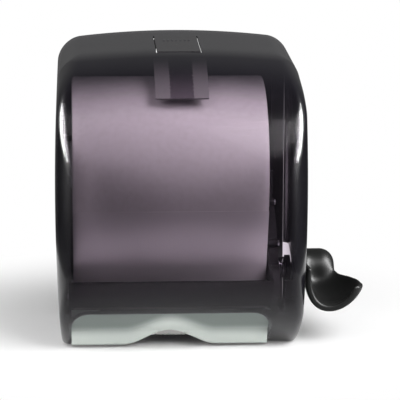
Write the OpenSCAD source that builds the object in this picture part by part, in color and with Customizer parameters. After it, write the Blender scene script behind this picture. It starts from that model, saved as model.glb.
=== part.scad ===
// Wall-hung dispenser for a roll of paper towel, worked by a hand lever on its right side.
// X runs to the right and Z up. The wall is the plane y = 0, so the front is at negative y.
// The origin is the middle of the wall screws. The heights below start at the foot of the case.

/* [Cover] */
// Width of the cover
case_w = 264; // [260:1:290]
// Height of the cover
case_h = 324; // [320:1:345]
// Depth from the wall to the front of the cover
case_d = 216; // [214:1:235]
// Wall of the see-through cover
cover_wall = 2.5; // [2:0.1:3]
// Distance from the wall to the crease across the top
crease_y = 118; // [114:1:122]
// Drop from the top at the wall to the crease
crease_drop = 12; // [9:1:14]
// Slope of the front just below the crease, in degrees
crease_fall = 18; // [15:1:21]
// Height where the front starts to curve back to the foot
belly_z = 130; // [124:1:136]
// Distance from the wall to the front edge of the foot
foot_y = 119; // [112:1:124]
// Radius of the upright front corners
front_corner_r = 46; // [38:1:48]
// Radius of the slight bow across the front
front_bow_r = 1000; // [800:10:1400]
// Radius of the two top corners
top_corner_r = 24; // [18:1:30]
// Radius of the crown across the top
crown_r = 1000; // [800:10:1400]
// Radius of the slight bow down each side
side_bow_r = 2270; // [1800:10:3000]
// Radius of the two lower corners
foot_corner_r = 9; // [6:1:10]
// Height of the mouth above the foot
mouth_h = 46; // [42:1:50]
// Radius of the two upper corners of the mouth
mouth_corner_r = 20; // [14:1:24]

/* [Latch] */
// Width of the tongue that opens the cover
tab_w = 46; // [40:1:54]
// Length of the tongue
tab_l = 82; // [76:1:84]
// Width of the slits beside the tongue
tab_slit = 1.2; // [0.8:0.1:2]
// Radius of the tongue's pin
latch_pin_r = 1.5; // [1.2:0.1:1.8]
// Height of the tooth at the tongue's tail
tooth_h = 1.7; // [1.2:0.1:2]

/* [Back housing] */
// Width of the back housing's shelf and across its ribs
back_w = 222; // [216:1:230]
// Thickness of the back plate
back_t = 3; // [2.5:0.1:4]
// Height of the top shelf above the foot
shelf_z = 288; // [286:1:290]
// Depth of the top shelf
shelf_d = 98; // [80:1:102]
// Distance across between the wall screws
screw_dx = 150; // [120:1:160]
// Distance up between the wall screws
screw_dz = 200; // [170:1:210]
// Radius of the wall screw holes
screw_hole_r = 2.75; // [2.25:0.25:3]
// Distance from the wall to the cover's hinge
hinge_y = 14; // [13:1:16]
// Height of the cover's hinge above the foot
hinge_z = 12; // [12:1:14]
// Radius of the hinge pins
hinge_pin_r = 3; // [2.5:0.25:3.5]

/* [Paper] */
// Width of the roll
roll_w = 203; // [196:1:204]
// Radius of the roll
roll_r = 94; // [60:1:96]
// Distance from the wall to the middle of the roll
roll_y = 101; // [100:1:102]
// Height of the middle of the roll
roll_z = 190; // [188:1:191]
// Radius of the hole in the core
core_r = 20; // [18:0.5:22]
// Wall of the core
core_wall = 1.5; // [1:0.1:2]
// Room between the cover and the left end of the roll
arm_room = 16; // [16:0.5:18]
// Thickness of the sheet
sheet_t = 0.4; // [0.3:0.1:0.6]

/* [Feed] */
// Distance from the wall to the nip of the rollers
nip_y = 150; // [148:1:152]
// Height of the nip
nip_z = 62; // [60:1:64]
// Radius of the driven roller
feed_r = 14; // [12:0.5:15]
// Radius of its shaft
feed_shaft_r = 4; // [3:0.25:4.5]
// Radius of the pinch roller
pinch_r = 8; // [7:0.5:9]
// Radius of its shaft
pinch_shaft_r = 3; // [2.5:0.25:3.5]
// Number of sleeves on each roller
sleeves = 4; // [3:1:5]
// Length of each sleeve
sleeve_w = 34; // [24:1:36]
// Thickness of the side frames
frame_t = 2.5; // [2:0.1:3]
// Thickness of the roller guard
guard_t = 2.5; // [2:0.1:3]
// Gap between the cover's front and the roller guard
guard_gap = 9; // [8:0.5:10]
// Thickness of the chute
chute_t = 2.2; // [1.8:0.1:2.6]
// Height of the finger notch in the chute
notch_h = 17; // [10:1:20]
// Width of the finger notch
notch_w = 100; // [80:1:120]

/* [Lever] */
// Distance from the wall to the lever's shaft
lever_y = 50; // [48:1:52]
// Height of the lever's shaft
lever_z = 64; // [62:1:66]
// Radius of the lever's shaft
lever_shaft_r = 6; // [5:0.25:6.5]
// Radius of the lever's hub
hub_r = 21; // [19:0.5:22]
// Length of the lever's hub
hub_l = 42; // [38:0.5:44]
// Reach of the lever in front of its shaft
lever_reach = 102; // [90:1:110]
// How far the lever's tip stands out from the cover
lever_out = 65; // [58:1:70]
// Thickness of the lever's front lip
lip_t = 7; // [6:0.5:8]
// Thickness of the lever's blade
blade_t = 4; // [3:0.25:5]
// Teeth on the roller's pinion
pinion_teeth = 16; // [14:1:18]
// Teeth that a whole gear of the sector's size would have
sector_teeth = 104; // [98:1:110]
// Width of the gears
gear_w = 5; // [4:0.5:6]
// Swing of the lever, in degrees
lever_swing = 45; // [30:1:45]

/* [Fits] */
// Gap round a shaft in its bore
bore_fit = 0.05; // [0.03:0.01:0.08]
// Gap between curved faces that move past each other
run_gap = 0.3; // [0.3:0.05:0.5]
// Gap between flat faces that move past each other
side_gap = 0.5; // [0.4:0.1:1]

/* [Hidden] */
$fn = 48;

// Small sizes that several pieces share
eps = 1;                // how far a cut runs past the face that it opens
rear_gap = 1;           // between the cover and the wall
screw_r = 1.5;          // shank of the small screws
screw_head_r = 3;
screw_head_t = 1.8;
bush_wall = 3;
arc_steps = 10;         // steps along each round stretch of an outline
smoke = [0.25, 0.24, 0.28, 0.55];
black = [0.07, 0.07, 0.08];
steel = [0.72, 0.73, 0.75];
grey = [0.72, 0.77, 0.74];
paper = [0.93, 0.92, 0.9];
rubber = [0.2, 0.2, 0.21];

// Helpers for directions, arcs and meeting points of circles
function polar(r, a) = [r * cos(a), r * sin(a)];
function arc(c, r, a0, a1, n = arc_steps) = [for (i = [0:n]) c + polar(r, a0 + (a1 - a0) * i / n)];
function aim(from, to) = atan2(to[1] - from[1], to[0] - from[0]);
function mirrored(pts) = [for (i = [len(pts) - 1:-1:0]) [-pts[i][0], pts[i][1]]];
// The meeting point of two circles that lies to the left of the line from a to b
function meet(a, ra, b, rb) =
    let (d = norm(b - a), u = (b - a) / d, x = (ra * ra - rb * rb + d * d) / (2 * d))
    a + u * x + [-u[1], u[0]] * sqrt(ra * ra - x * x);
function tangent_r(run, rise) = (run * run + rise * rise) / (2 * run);

// Moves a piece from heights above the foot to heights about the wall screws
module from_foot() { translate([0, 0, -case_h / 2]) children(); }
// Extrudes an outline of [y, z] points from x0 to x1
module along_x(x0, x1) { translate([x0, 0, 0]) rotate([90, 0, 90]) linear_extrude(x1 - x0) children(); }
// Extrudes an outline of [x, z] points from y0 to a smaller y1
module along_y(y0, y1) { translate([0, y0, 0]) rotate([90, 0, 0]) linear_extrude(y0 - y1) children(); }
// A round bar along X about the point p = [y, z]
module rod(p, r, x0, x1) { translate([x0, p[0], p[1]]) rotate([0, 90, 0]) cylinder(r = r, h = x1 - x0); }
module tube(p, r_out, r_in, x0, x1) {
    difference() {
        rod(p, r_out, x0, x1);
        rod(p, r_in, x0 - eps, x1 + eps);
    }
}
// A plain screw with its head at the origin and its shank along -Z
module screw(l) {
    translate([0, 0, -l]) cylinder(r = screw_r, h = l);
    difference() {
        cylinder(r = screw_head_r, h = screw_head_t);
        translate([0, 0, screw_head_t / 2]) cylinder(r = screw_r * 0.8, h = screw_head_t, $fn = 6);
    }
}

// ---- Cover outlines ----
crease_z = case_h - crease_drop;
shoulder_run = (case_d - crease_y) / (1 - sin(crease_fall));
shoulder_c = [-case_d + shoulder_run, crease_z - shoulder_run * cos(crease_fall)];
belly_r = tangent_r(case_d - foot_y, belly_z);
belly_c = [-case_d + belly_r, belly_z];

// Side view: [y, z], inset by t; an open one runs out past the back and the foot
function side_outline(t, open) =
    let (y0 = open ? eps : -rear_gap, z0 = open ? -eps : 0, dip = asin(belly_z / belly_r),
         foot = belly_c + polar(belly_r - t, 180 + dip))
    concat([[y0, z0], [y0, case_h - t]],
           arc(shoulder_c, shoulder_run - t, 90 + crease_fall, 180, 16),
           arc(belly_c, belly_r - t, 180, 180 + dip, 16),
           open ? [foot + (foot[1] - z0) * [tan(dip), -1]] : []);

// Plan: [x, y], inset by t
plan_c = [case_w / 2 - front_corner_r, 0];
bow_y = -case_d + front_bow_r;
corner_y = bow_y - sqrt(pow(front_bow_r - front_corner_r, 2) - pow(plan_c[0], 2));
function plan_outline(t) =
    let (c = [plan_c[0], corner_y], b = [0, bow_y], a = aim(b, c),
         half = concat([[case_w / 2 - t, eps]], arc(c, front_corner_r - t, 0, a),
                       arc(b, front_bow_r - t, a, -90, 6)))
    concat(half, mirrored(half));

// Front view: [x, z], inset by t
side_mid_z = case_h / 2;
side_c = [case_w / 2 - side_bow_r, side_mid_z];
crown_c = [0, case_h - crown_r];
top_c = meet(side_c, side_bow_r - top_corner_r, crown_c, crown_r - top_corner_r);
// Half the width of the cover at the height z
function side_x(z) = side_c[0] + sqrt(pow(side_bow_r, 2) - pow(side_mid_z - z, 2));
foot_x = side_x(foot_corner_r);
function front_outline(t, open) =
    let (a_side = aim(side_c, top_c), a_top = aim(crown_c, top_c),
         foot = open ? [[foot_x - t, -eps]]
                     : arc([foot_x - foot_corner_r, foot_corner_r], foot_corner_r, -90, 0, 5),
         half = concat(foot, arc(side_c, side_bow_r - t, -asin((side_mid_z - foot_corner_r) / side_bow_r),
                                 a_side, 12),
                       arc(top_c, top_corner_r - t, a_side, a_top), arc(crown_c, crown_r - t, a_top, 90, 6)))
    concat(half, mirrored(half));

module hood(t, open) {
    intersection() {
        along_x(-case_w, case_w) polygon(side_outline(t, open));
        along_y(2 * eps, -2 * case_d) polygon(front_outline(t, open));
        translate([0, 0, -2 * eps]) linear_extrude(case_h + 4 * eps) polygon(plan_outline(t));
    }
}

// ---- Places along X, from the left wall of the cover to the lever ----
gear_gap = 1.5;         // each side of the gears
lever_gap = 1.2;        // between the widest part of the cover and the lever
coil_gap = 5;           // from the shaft to the middle of the spring's wire
collar_wall = 3;        // outside the wire
collar_l = 5.5;
coil_r = lever_shaft_r + coil_gap;
wall_x = case_w / 2 - cover_wall;
roll_x0 = -wall_x + arm_room;
roll_x1 = roll_x0 + roll_w;
left_x1 = roll_x0 - frame_t;
left_x0 = left_x1 - frame_t;
right_x0 = roll_x1 + frame_t;
right_x1 = right_x0 + frame_t;
mid_x = (left_x1 + right_x0) / 2;
gear_x0 = right_x1 + gear_gap;
gear_x1 = gear_x0 + gear_w;
box_x0 = gear_x1 + gear_gap;
box_x1 = box_x0 + frame_t;
lever_x0 = case_w / 2 + lever_gap;
collar_x1 = side_x(lever_z - coil_r - collar_wall) - cover_wall - side_gap;
collar_x0 = collar_x1 - collar_l;

// ---- Places in the side view ----
hinge = [-hinge_y, hinge_z];
lever_p = [-lever_y, lever_z];
roll_p = [-roll_y, roll_z];
nip = [-nip_y, nip_z];
nip_gap = sheet_t / 2 + run_gap;
web_a = aim(nip, roll_p) + asin((roll_r + nip_gap) / norm(roll_p - nip));
web_u = polar(1, web_a);
web_n = polar(1, web_a - 90);
web_top = sqrt(pow(norm(roll_p - nip), 2) - pow(roll_r + nip_gap, 2));
web_foot_z = 8;
web_end = (nip_z - web_foot_z) / web_u[1];
feed_p = nip + (feed_r + nip_gap) * web_n;
pinch_p = nip - (pinch_r + nip_gap) * web_n;
guard_r = belly_r - cover_wall - guard_gap;
chute_r = belly_r - cover_wall - run_gap - side_gap;

// ---- Cover ----
mouth_gap = 1.5;        // beside the chute
notch_gap = 3;          // round the lever's shaft
tab_step = 2.5;         // from the crease to the front of the tongue
mouth_x0 = left_x1 - mouth_gap;
mouth_x1 = right_x0 + mouth_gap;
notch_path_r = norm(lever_p - hinge);
notch_half = lever_shaft_r + notch_gap;
notch_x0 = side_x(0) - 3 * cover_wall;
top_slope = crease_drop / crease_y;
tab_y1 = -crease_y + tab_step;
tab_y0 = tab_y1 + tab_l;
function top_z(y) = case_h + y * top_slope;

module mouth() {
    along_y(-foot_y / 2, -2 * case_d) {
        translate([mouth_x0, -eps]) square([mouth_x1 - mouth_x0, mouth_h - mouth_corner_r + eps]);
        translate([mouth_x0 + mouth_corner_r, 0])
            square([mouth_x1 - mouth_x0 - 2 * mouth_corner_r, mouth_h]);
        for (x = [mouth_x0 + mouth_corner_r, mouth_x1 - mouth_corner_r])
            translate([x, mouth_h - mouth_corner_r]) circle(mouth_corner_r);
    }
}
// The slot that lets the shaft leave the right wall as the cover swings
module shaft_notch() {
    intersection() {
        tube(hinge, notch_path_r + notch_half, notch_path_r - notch_half, notch_x0, case_w / 2 + eps);
        translate([notch_x0, -lever_y, hinge_z]) cube([case_w, lever_y + eps, case_h / 2]);
    }
    rod(lever_p, notch_half, notch_x0, case_w / 2 + eps);
}
module front_cover() {
    color(smoke) from_foot() difference() {
        hood(0, false);
        hood(cover_wall, true);
        mouth();
        shaft_notch();
        translate([-tab_w / 2 - tab_slit, tab_y1 - tab_slit, crease_z - 2 * cover_wall])
            cube([tab_w + 2 * tab_slit, tab_l + 2 * tab_slit, case_h]);
        rod(hinge, hinge_pin_r + bore_fit, -case_w, case_w);
        // The corner behind the hinge is rounded so that it swings clear of the wall
        difference() {
            along_x(-case_w, case_w) translate([-hinge_y, -eps]) square([hinge_y + eps, hinge_z + eps]);
            rod(hinge, hinge_z, -case_w, case_w);
        }
    }
}

// ---- Latch ----
pin_back = 6;           // from the front of the tongue to its pin
pin_drop = 2.2;         // between the cover and the pin
barrel_r = latch_pin_r + 1.8;
ear_t = 3;
ear_x = tab_w / 2 + tab_slit + side_gap;
pin_p = [tab_y1 + pin_back, top_z(tab_y1 + pin_back) - cover_wall - latch_pin_r - pin_drop];
tail_drop = 14;         // from the tongue to its tail
tail_z = top_z(tab_y0) - tail_drop;
tail_t = 2;
tail_w = 34;
keeper_lip_y = -13;
tooth_back = 2.5;       // from the keeper's lip to the tooth
tooth_y = keeper_lip_y + tooth_back;
keeper_t = 2;
keeper_x = tail_w / 2 + 3;
keeper_room = 3.5;      // above the lip
keeper_z = tail_z + tooth_h + run_gap;
bracket_gap = 0.4;      // under the top of the cover
pad_gap = 0.1;          // behind the front of the cover
pad_t = 2;

module latch_bracket() {
    r = shoulder_run - cover_wall - pad_gap;
    pad_a0 = 90 + crease_fall + 4;
    pad_a1 = pad_a0 + 26;
    roof = cover_wall + bracket_gap;
    color(black) from_foot() {
        for (x = [-ear_x - ear_t, ear_x]) difference() {
            union() {
                along_x(x, x + ear_t) polygon([
                    [pin_p[0] + barrel_r, pin_p[1]],
                    [pin_p[0] + barrel_r, top_z(pin_p[0] + barrel_r) - roof],
                    [-crease_y + 1, crease_z - roof],
                    shoulder_c + polar(r, pad_a0 + 4),
                    shoulder_c + polar(r - pad_t, pad_a0 + 4),
                    [pin_p[0] - barrel_r, pin_p[1]]]);
                rod(pin_p, barrel_r, x, x + ear_t);
            }
            rod(pin_p, latch_pin_r, x - eps, x + ear_t + eps);
        }
        // The pad behind the front, just below the crease
        translate([-ear_x - ear_t, 0, 0]) rotate([90, 0, 90]) linear_extrude(2 * (ear_x + ear_t))
            polygon(concat(arc(shoulder_c, r, pad_a0, pad_a1, 12),
                           arc(shoulder_c, r - pad_t, pad_a1, pad_a0, 12)));
    }
}
module latch_pin() {
    color(steel) from_foot() rod(pin_p, latch_pin_r, -ear_x - ear_t, ear_x + ear_t);
}
module latch_tab() {
    color(smoke) from_foot() difference() {
        union() {
            // Tongue, flush with the top of the cover
            along_x(-tab_w / 2, tab_w / 2) polygon([
                [tab_y0, top_z(tab_y0) - cover_wall], [tab_y0, top_z(tab_y0)],
                [tab_y1, top_z(tab_y1)], [tab_y1, top_z(tab_y1) - cover_wall]]);
            // Leg and tail, with the tooth at its end
            along_x(-tail_w / 2, tail_w / 2) polygon([
                [tab_y0, top_z(tab_y0) - 1], [tab_y0, tail_z], [tooth_y, tail_z],
                [tooth_y, tail_z + tooth_h], [tooth_y + tail_t, tail_z + tooth_h],
                [tooth_y + tail_t, tail_z - tail_t], [tab_y0 - tail_t, tail_z - tail_t],
                [tab_y0 - tail_t, top_z(tab_y0) - 1]]);
            rod(pin_p, barrel_r, -tab_w / 2, tab_w / 2);
            along_x(-tab_w / 2, tab_w / 2) translate([pin_p[0] - barrel_r, pin_p[1]])
                square([2 * barrel_r, top_z(pin_p[0]) - cover_wall / 2 - pin_p[1]]);
        }
        rod(pin_p, latch_pin_r + bore_fit, -tab_w, tab_w);
    }
}
module latch_keeper() {
    shelf_top = shelf_z + back_t;
    h = keeper_z + keeper_room - shelf_top;
    color(black) from_foot() difference() {
        translate([-keeper_x - keeper_t, keeper_lip_y - keeper_t, shelf_top])
            cube([2 * (keeper_x + keeper_t), keeper_t - back_t - keeper_lip_y, h + keeper_t]);
        translate([-keeper_x, keeper_lip_y, shelf_top - eps]) cube([2 * keeper_x, case_d, h + eps]);
        translate([-keeper_x, keeper_lip_y - keeper_t - eps, shelf_top - eps])
            cube([2 * keeper_x, keeper_t + 2 * eps, keeper_z - shelf_top + eps]);
    }
}

// ---- Back housing ----
housing_z0 = 4;
rib_d = 9;
flange_t = 2;
pivot_r = 2.5;
barrel_wall = 2;
arm_t = 3;
arm_h = 24;
arm_lug_h = 6;
arm_y = -11;
pivot_gap = 6;          // from the end of the roll to the arm's pin
left_pivot_x = roll_x0 - pivot_gap;
right_pivot_x = roll_x1 + pivot_gap;
frame_foot_w = 12;
frame_screw_z = [34, 98];
frame_margin = 10;      // from the frame's screws to its ends
frame_z0 = frame_screw_z[0] - frame_margin;
frame_z1 = frame_screw_z[1] + frame_margin;
rib_gap = 4;            // between the frame and the rib above it
ear_r = hinge_z - 5;
ear_x1 = side_x(hinge_z - ear_r) - cover_wall - side_gap;
plate_half = side_x(housing_z0) - cover_wall - side_gap;
hinge_pin_l = 17.5;
left_foot_x = left_x1 + frame_foot_w / 2;
right_foot_x = right_x0 - frame_foot_w / 2;

module back_housing() {
    half = back_w / 2;
    color(black) from_foot() difference() {
        union() {
            translate([-plate_half, -back_t, housing_z0])
                cube([2 * plate_half, back_t, shelf_z + back_t - housing_z0]);
            translate([-half, -shelf_d, shelf_z]) cube([back_w, shelf_d, back_t]);
            // Ribs that stiffen the plate, above the frames and clear of the arms
            for (x = [-half, half - flange_t]) {
                along_x(x, x + flange_t) translate([-rib_d, frame_z1 + rib_gap])
                    square([rib_d, roll_z - arm_h - frame_z1 - rib_gap]);
                along_x(x, x + flange_t) translate([-rib_d, roll_z + arm_h])
                    square([rib_d, shelf_z - roll_z - arm_h + eps]);
            }
            // Ears that carry the hinge pins
            for (s = [-1, 1]) {
                x0 = s < 0 ? -ear_x1 : half - flange_t;
                x1 = s < 0 ? -half + flange_t : ear_x1;
                rod(hinge, ear_r, x0, x1);
                translate([x0, -hinge_y, hinge_z - ear_r]) cube([x1 - x0, hinge_y, 2 * ear_r]);
            }
            // Lugs above and below each arm
            for (x = [left_pivot_x, right_pivot_x], z = [-1, 1])
                translate([x, 0, roll_z + z * (arm_h / 2 + side_gap + arm_lug_h / 2)]) {
                    translate([0, arm_y, -arm_lug_h / 2]) cylinder(r = pivot_r + barrel_wall, h = arm_lug_h);
                    translate([-pivot_r - barrel_wall, arm_y, -arm_lug_h / 2])
                        cube([2 * (pivot_r + barrel_wall), -arm_y, arm_lug_h]);
                }
        }
        for (x = [-1, 1], z = [-1, 1])
            translate([x * screw_dx / 2, eps, case_h / 2 + z * screw_dz / 2])
                rotate([90, 0, 0]) cylinder(r = screw_hole_r, h = back_t + 2 * eps);
        for (x = [left_foot_x, right_foot_x], z = frame_screw_z)
            translate([x, eps, z]) rotate([90, 0, 0]) cylinder(r = screw_r, h = back_t + 2 * eps);
        rod(hinge, hinge_pin_r, -case_w, case_w);
        for (x = [left_pivot_x, right_pivot_x])
            translate([x, arm_y, roll_z - arm_h]) cylinder(r = pivot_r, h = 2 * arm_h);
    }
}
module hinge_pins() {
    x1 = side_x(hinge_z) - side_gap;
    color(steel) from_foot() {
        rod(hinge, hinge_pin_r, -x1, hinge_pin_l - x1);
        rod(hinge, hinge_pin_r, x1 - hinge_pin_l, x1);
    }
}
module arm_pins() {
    l = arm_h + 2 * (side_gap + arm_lug_h);
    color(steel) from_foot() for (x = [left_pivot_x, right_pivot_x])
        translate([x, arm_y, roll_z - l / 2]) cylinder(r = pivot_r, h = l);
}

// ---- Side frames and gearbox ----
bush_flange = 1.2;
gear_case_r = 84;
gear_case_wall = 2;
pinion_case_r = 18;
boss_r = 4.5;
gearbox_bolts = [112, 150, 200];
function bolt_p(a) = lever_p + polar(gear_case_r + 2, a);
guard_z0 = 50;
guard_z1 = 80;
block_w = 12;
block_play = 2;

// The side frame before its front is cut to the guard's curve, which lies inside frame_reach
frame_reach = 60;
frame_low_z = 22;
frame_points = [
    [-back_t, frame_z0], [-back_t, frame_z1], [-lever_y, frame_z1], feed_p + [0, feed_r + 16],
    [nip[0] - frame_reach, guard_z1 - 4], [nip[0] - frame_reach, guard_z0 + 2], pinch_p + [4, -20],
    [-foot_y, frame_low_z], [-lever_y, frame_low_z]];

// The slot in which a pinch block slides toward the driven roller
module block_slot(play) {
    translate(pinch_p) rotate(web_a) translate([-block_w / 2, -block_w / 2 - play])
        square([block_w, block_w + play]);
}
module frame_outline() {
    intersection() {
        polygon(frame_points);
        translate(belly_c) circle(guard_r - guard_t, $fn = 96);
    }
}
module frame_foot(x, z0, z1) {
    translate([x - frame_foot_w / 2 - frame_t, -back_t - frame_t, z0])
        cube([frame_foot_w + 2 * frame_t, frame_t, z1 - z0]);
}
module side_frame(x0, screw_x, lever_hole) {
    difference() {
        union() {
            along_x(x0, x0 + frame_t) frame_outline();
            if (lever_hole) along_x(x0, x0 + frame_t) gear_case(0);
            frame_foot(screw_x, frame_z0, frame_z1);
        }
        rod(feed_p, feed_shaft_r + bush_wall, x0 - eps, x0 + frame_t + eps);
        along_x(x0 - eps, x0 + frame_t + eps) block_slot(block_play);
        if (lever_hole) {
            rod(lever_p, lever_shaft_r + bush_wall, x0 - eps, x0 + frame_t + eps);
            for (a = gearbox_bolts)
                rod(bolt_p(a), screw_r, x0 - eps, x0 + frame_t + eps);
        }
        for (z = frame_screw_z)
            translate([screw_x, eps, z]) rotate([90, 0, 0]) cylinder(r = screw_r, h = 4 * back_t);
    }
}
// The outline of the gearbox, inset by t, with a boss for each screw
module gear_case(t) {
    intersection() {
        union() {
            translate(lever_p) circle(gear_case_r - t, $fn = 96);
            translate(feed_p) circle(pinion_case_r - t);
            for (a = gearbox_bolts) translate(bolt_p(a)) circle(boss_r - t);
        }
        translate([-case_d, 3]) square([case_d - back_t - frame_t - eps, case_h]);
    }
}
module left_frame() {
    color(black) from_foot() side_frame(left_x0, left_foot_x, false);
}
module right_frame() {
    color(black) from_foot() side_frame(right_x0, right_foot_x, true);
}
module gearbox_cover() {
    color(black) from_foot() difference() {
        union() {
            along_x(box_x0, box_x1) gear_case(0);
            along_x(right_x1, box_x0) difference() {
                gear_case(0);
                gear_case(gear_case_wall);
            }
        }
        rod(lever_p, lever_shaft_r + bush_wall, box_x0 - eps, box_x1 + eps);
        for (a = gearbox_bolts)
            rod(bolt_p(a), screw_r, right_x0, box_x1 + eps);
        rod(spring_anchor, wire_r + 0.1, box_x0 - eps, box_x1 + eps);
    }
}
module frame_screws() {
    color(steel) from_foot() for (x = [left_foot_x, right_foot_x], z = frame_screw_z)
        translate([x, -back_t - frame_t, z]) rotate([90, 0, 0]) screw(back_t + frame_t - 0.5);
}
module gearbox_screws() {
    color(steel) from_foot() for (a = gearbox_bolts)
        let (p = bolt_p(a))
        translate([box_x1, p[0], p[1]]) rotate([0, 90, 0]) screw(box_x1 - right_x0);
}
// A flanged bush in a plate that starts at x0, with its flange on the side s
module bush(p, r, x0, s) {
    tube(p, r + bush_wall, r + bore_fit, x0, x0 + frame_t);
    flange_x = s < 0 ? x0 - bush_flange : x0 + frame_t;
    tube(p, r + 1.5 * bush_wall, r + bore_fit, flange_x, flange_x + bush_flange);
}
module feed_bushes() {
    color(paper) from_foot() {
        bush(feed_p, feed_shaft_r, left_x0, -1);
        bush(feed_p, feed_shaft_r, right_x0, -1);
    }
}
module lever_bushes() {
    color(paper) from_foot() {
        bush(lever_p, lever_shaft_r, right_x0, -1);
        bush(lever_p, lever_shaft_r, box_x0, 1);
    }
}
module pinch_blocks() {
    color(paper) from_foot() for (x = [left_x0, right_x0]) difference() {
        along_x(x, x + frame_t) block_slot(0);
        rod(pinch_p, pinch_shaft_r + bore_fit, x - eps, x + frame_t + eps);
    }
}
// A bent steel strip in the play of each slot, pressing on the block
module pinch_springs() {
    strip = 0.6;
    color(steel) from_foot() for (x = [left_x0, right_x0])
        along_x(x, x + frame_t) translate(pinch_p) rotate(web_a) translate([0, -block_w / 2 - block_play])
            polygon([[-block_w / 2, 0], [-block_w / 2, strip], [-1, block_play], [1, block_play],
                     [block_w / 2, strip], [block_w / 2, 0],
                     [1, block_play - strip], [-1, block_play - strip]]);
}

// ---- Guard, chute and sheet ----
tear_t = 0.8;
tear_w = 14;
tear_past = 3;          // how far the teeth stand past the guide
tooth_pitch = 4;
tooth_cut = 2;
guide_t = 2;
guide_gap = 3;
guide_s0 = 4 - web_end;
guide_s1 = -feed_r - 8;
lip_z0 = 3;             // foot of the chute's lip
lip_z1 = 20;            // where the lip leaves the curve of the cover
lip_back = 6;           // how far the lip leans back to its foot
lip_proud = 0.7;        // how far the lip stands out from the chute
cheek_t = 2;
cheek_z = guard_z0 - 2;
cheek_back = 8;         // how far a cheek reaches behind the sheet
wave_steps = 40;

function belly_angle(r, z) = 180 + asin((belly_z - z) / r);
lip_foot = belly_c + polar(chute_r, belly_angle(chute_r, lip_z1)) + [lip_back, lip_z0 - lip_z1];

module roller_guard() {
    r = guard_r;
    color(black) from_foot() along_x(left_x0, right_x1) polygon(concat(
        arc(belly_c, r, belly_angle(r, guard_z1), belly_angle(r, guard_z0), 12),
        arc(belly_c, r - guard_t, belly_angle(r, guard_z0), belly_angle(r, guard_z1), 12)));
}
// The rise of the finger notch above the lower edge of the chute, at x
function wave(x) = abs(x - mid_x) < notch_w / 2 ? notch_h / 2 * (1 + cos(360 * (x - mid_x) / notch_w)) : 0;
// The lower edge of the chute, raised by z
function wave_edge(z) = [
    for (i = [0:wave_steps]) let (x = left_x1 + (right_x0 - left_x1) * i / wave_steps) [x, z + wave(x)]];

// The side view of the chute's outer face: down the belly, then down the lip
function chute_face(r) = concat(
    arc(belly_c, r, belly_angle(chute_r, guard_z0), belly_angle(chute_r, lip_z1), 12),
    [lip_foot + [chute_r - r, 0]]);
function reversed(pts) = [for (i = [len(pts) - 1:-1:0]) pts[i]];

// The part of the chute's wall from r0 to r1 that lies above its wavy lower edge
module chute_band(r0, r1, z1) {
    intersection() {
        along_x(left_x1, right_x0) polygon(concat(chute_face(r1), reversed(chute_face(r0))));
        along_y(0, -case_d) polygon(concat(wave_edge(lip_z0), reversed(wave_edge(z1))));
    }
}
module paper_chute() {
    color(grey) from_foot() {
        chute_band(chute_r - chute_t, chute_r, guard_z0);
        chute_band(chute_r - chute_t, chute_r + lip_proud, lip_z1);
        // Cheeks that lie against the side frames
        for (x = [left_x1, right_x0 - cheek_t]) along_x(x, x + cheek_t) intersection() {
            polygon(concat(chute_face(chute_r - chute_t / 2),
                [nip - web_end * web_u, nip + (cheek_z - nip_z) / web_u[1] * web_u - cheek_back * web_n]));
            translate([-case_d, lip_z0]) square([case_d, cheek_z - lip_z0]);
        }
    }
}
module web_strip(s0, s1, n0, n1) {
    polygon([nip + s0 * web_u + n0 * web_n, nip + s1 * web_u + n0 * web_n,
             nip + s1 * web_u + n1 * web_n, nip + s0 * web_u + n1 * web_n]);
}
module web_guide() {
    color(black) from_foot() difference() {
        along_x(left_x1, right_x0) web_strip(guide_s0, guide_s1, guide_gap, guide_gap + guide_t);
        tear_screw_places() cylinder(r = screw_r, h = 4 * (tear_t + guide_t), center = true);
    }
}
module tear_screw_places() {
    p = nip + (guide_s0 + tear_w / 2) * web_u + (guide_gap + guide_t + tear_t) * web_n;
    for (i = [-1:1]) translate([mid_x + i * roll_w * 0.4, p[0], p[1]]) rotate([web_a - 180, 0, 0]) children();
}
module tear_bar() {
    n = floor(roll_w / tooth_pitch);
    p = nip + (guide_s0 - tear_past) * web_u + (guide_gap + guide_t) * web_n;
    color(steel) from_foot() difference() {
        translate([mid_x, p[0], p[1]]) rotate([web_a - 90, 0, 0]) rotate([90, 0, 0])
            translate([0, 0, -tear_t]) linear_extrude(tear_t) polygon(concat(
                [[n * tooth_pitch / 2, tear_w], [-n * tooth_pitch / 2, tear_w]],
                [for (i = [0:2 * n]) [(i - n) / 2 * tooth_pitch, i % 2 == 0 ? tooth_cut : 0]]));
        tear_screw_places() cylinder(r = screw_r, h = 4 * (tear_t + guide_t), center = true);
    }
}
module tear_bar_screws() {
    color(steel) from_foot() tear_screw_places() screw(tear_t + guide_t);
}
module paper_web() {
    color(paper) from_foot() along_x(roll_x0, roll_x1)
        web_strip(-web_end, web_top, -sheet_t / 2, sheet_t / 2);
}

// ---- Rollers ----
clip_t = 1;
clip_gap = 0.2;
clip_x1 = left_x0 - bush_flange - clip_gap;
sleeve_x0 = roll_x0 + 4;
drum_l = 7;
sleeve_pitch = (roll_w - 16 - sleeve_w) / (sleeves - 1);
module sleeve_row(p, r_out, r_in) {
    for (i = [0:sleeves - 1])
        tube(p, r_out, r_in, sleeve_x0 + i * sleeve_pitch, sleeve_x0 + i * sleeve_pitch + sleeve_w);
}
module feed_shaft() {
    color(steel) from_foot() {
        rod(feed_p, feed_shaft_r, clip_x1 - 2 * clip_t, box_x0 - side_gap);
        rod(feed_p, feed_shaft_r + 1.5, clip_x1 - clip_t, clip_x1);
    }
}
module feed_grips() {
    color(rubber) from_foot() sleeve_row(feed_p, feed_r, feed_shaft_r);
}
module pinch_shaft() {
    color(steel) from_foot() rod(pinch_p, pinch_shaft_r, left_x0 - 1.5, right_x1 + 1);
}
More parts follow.
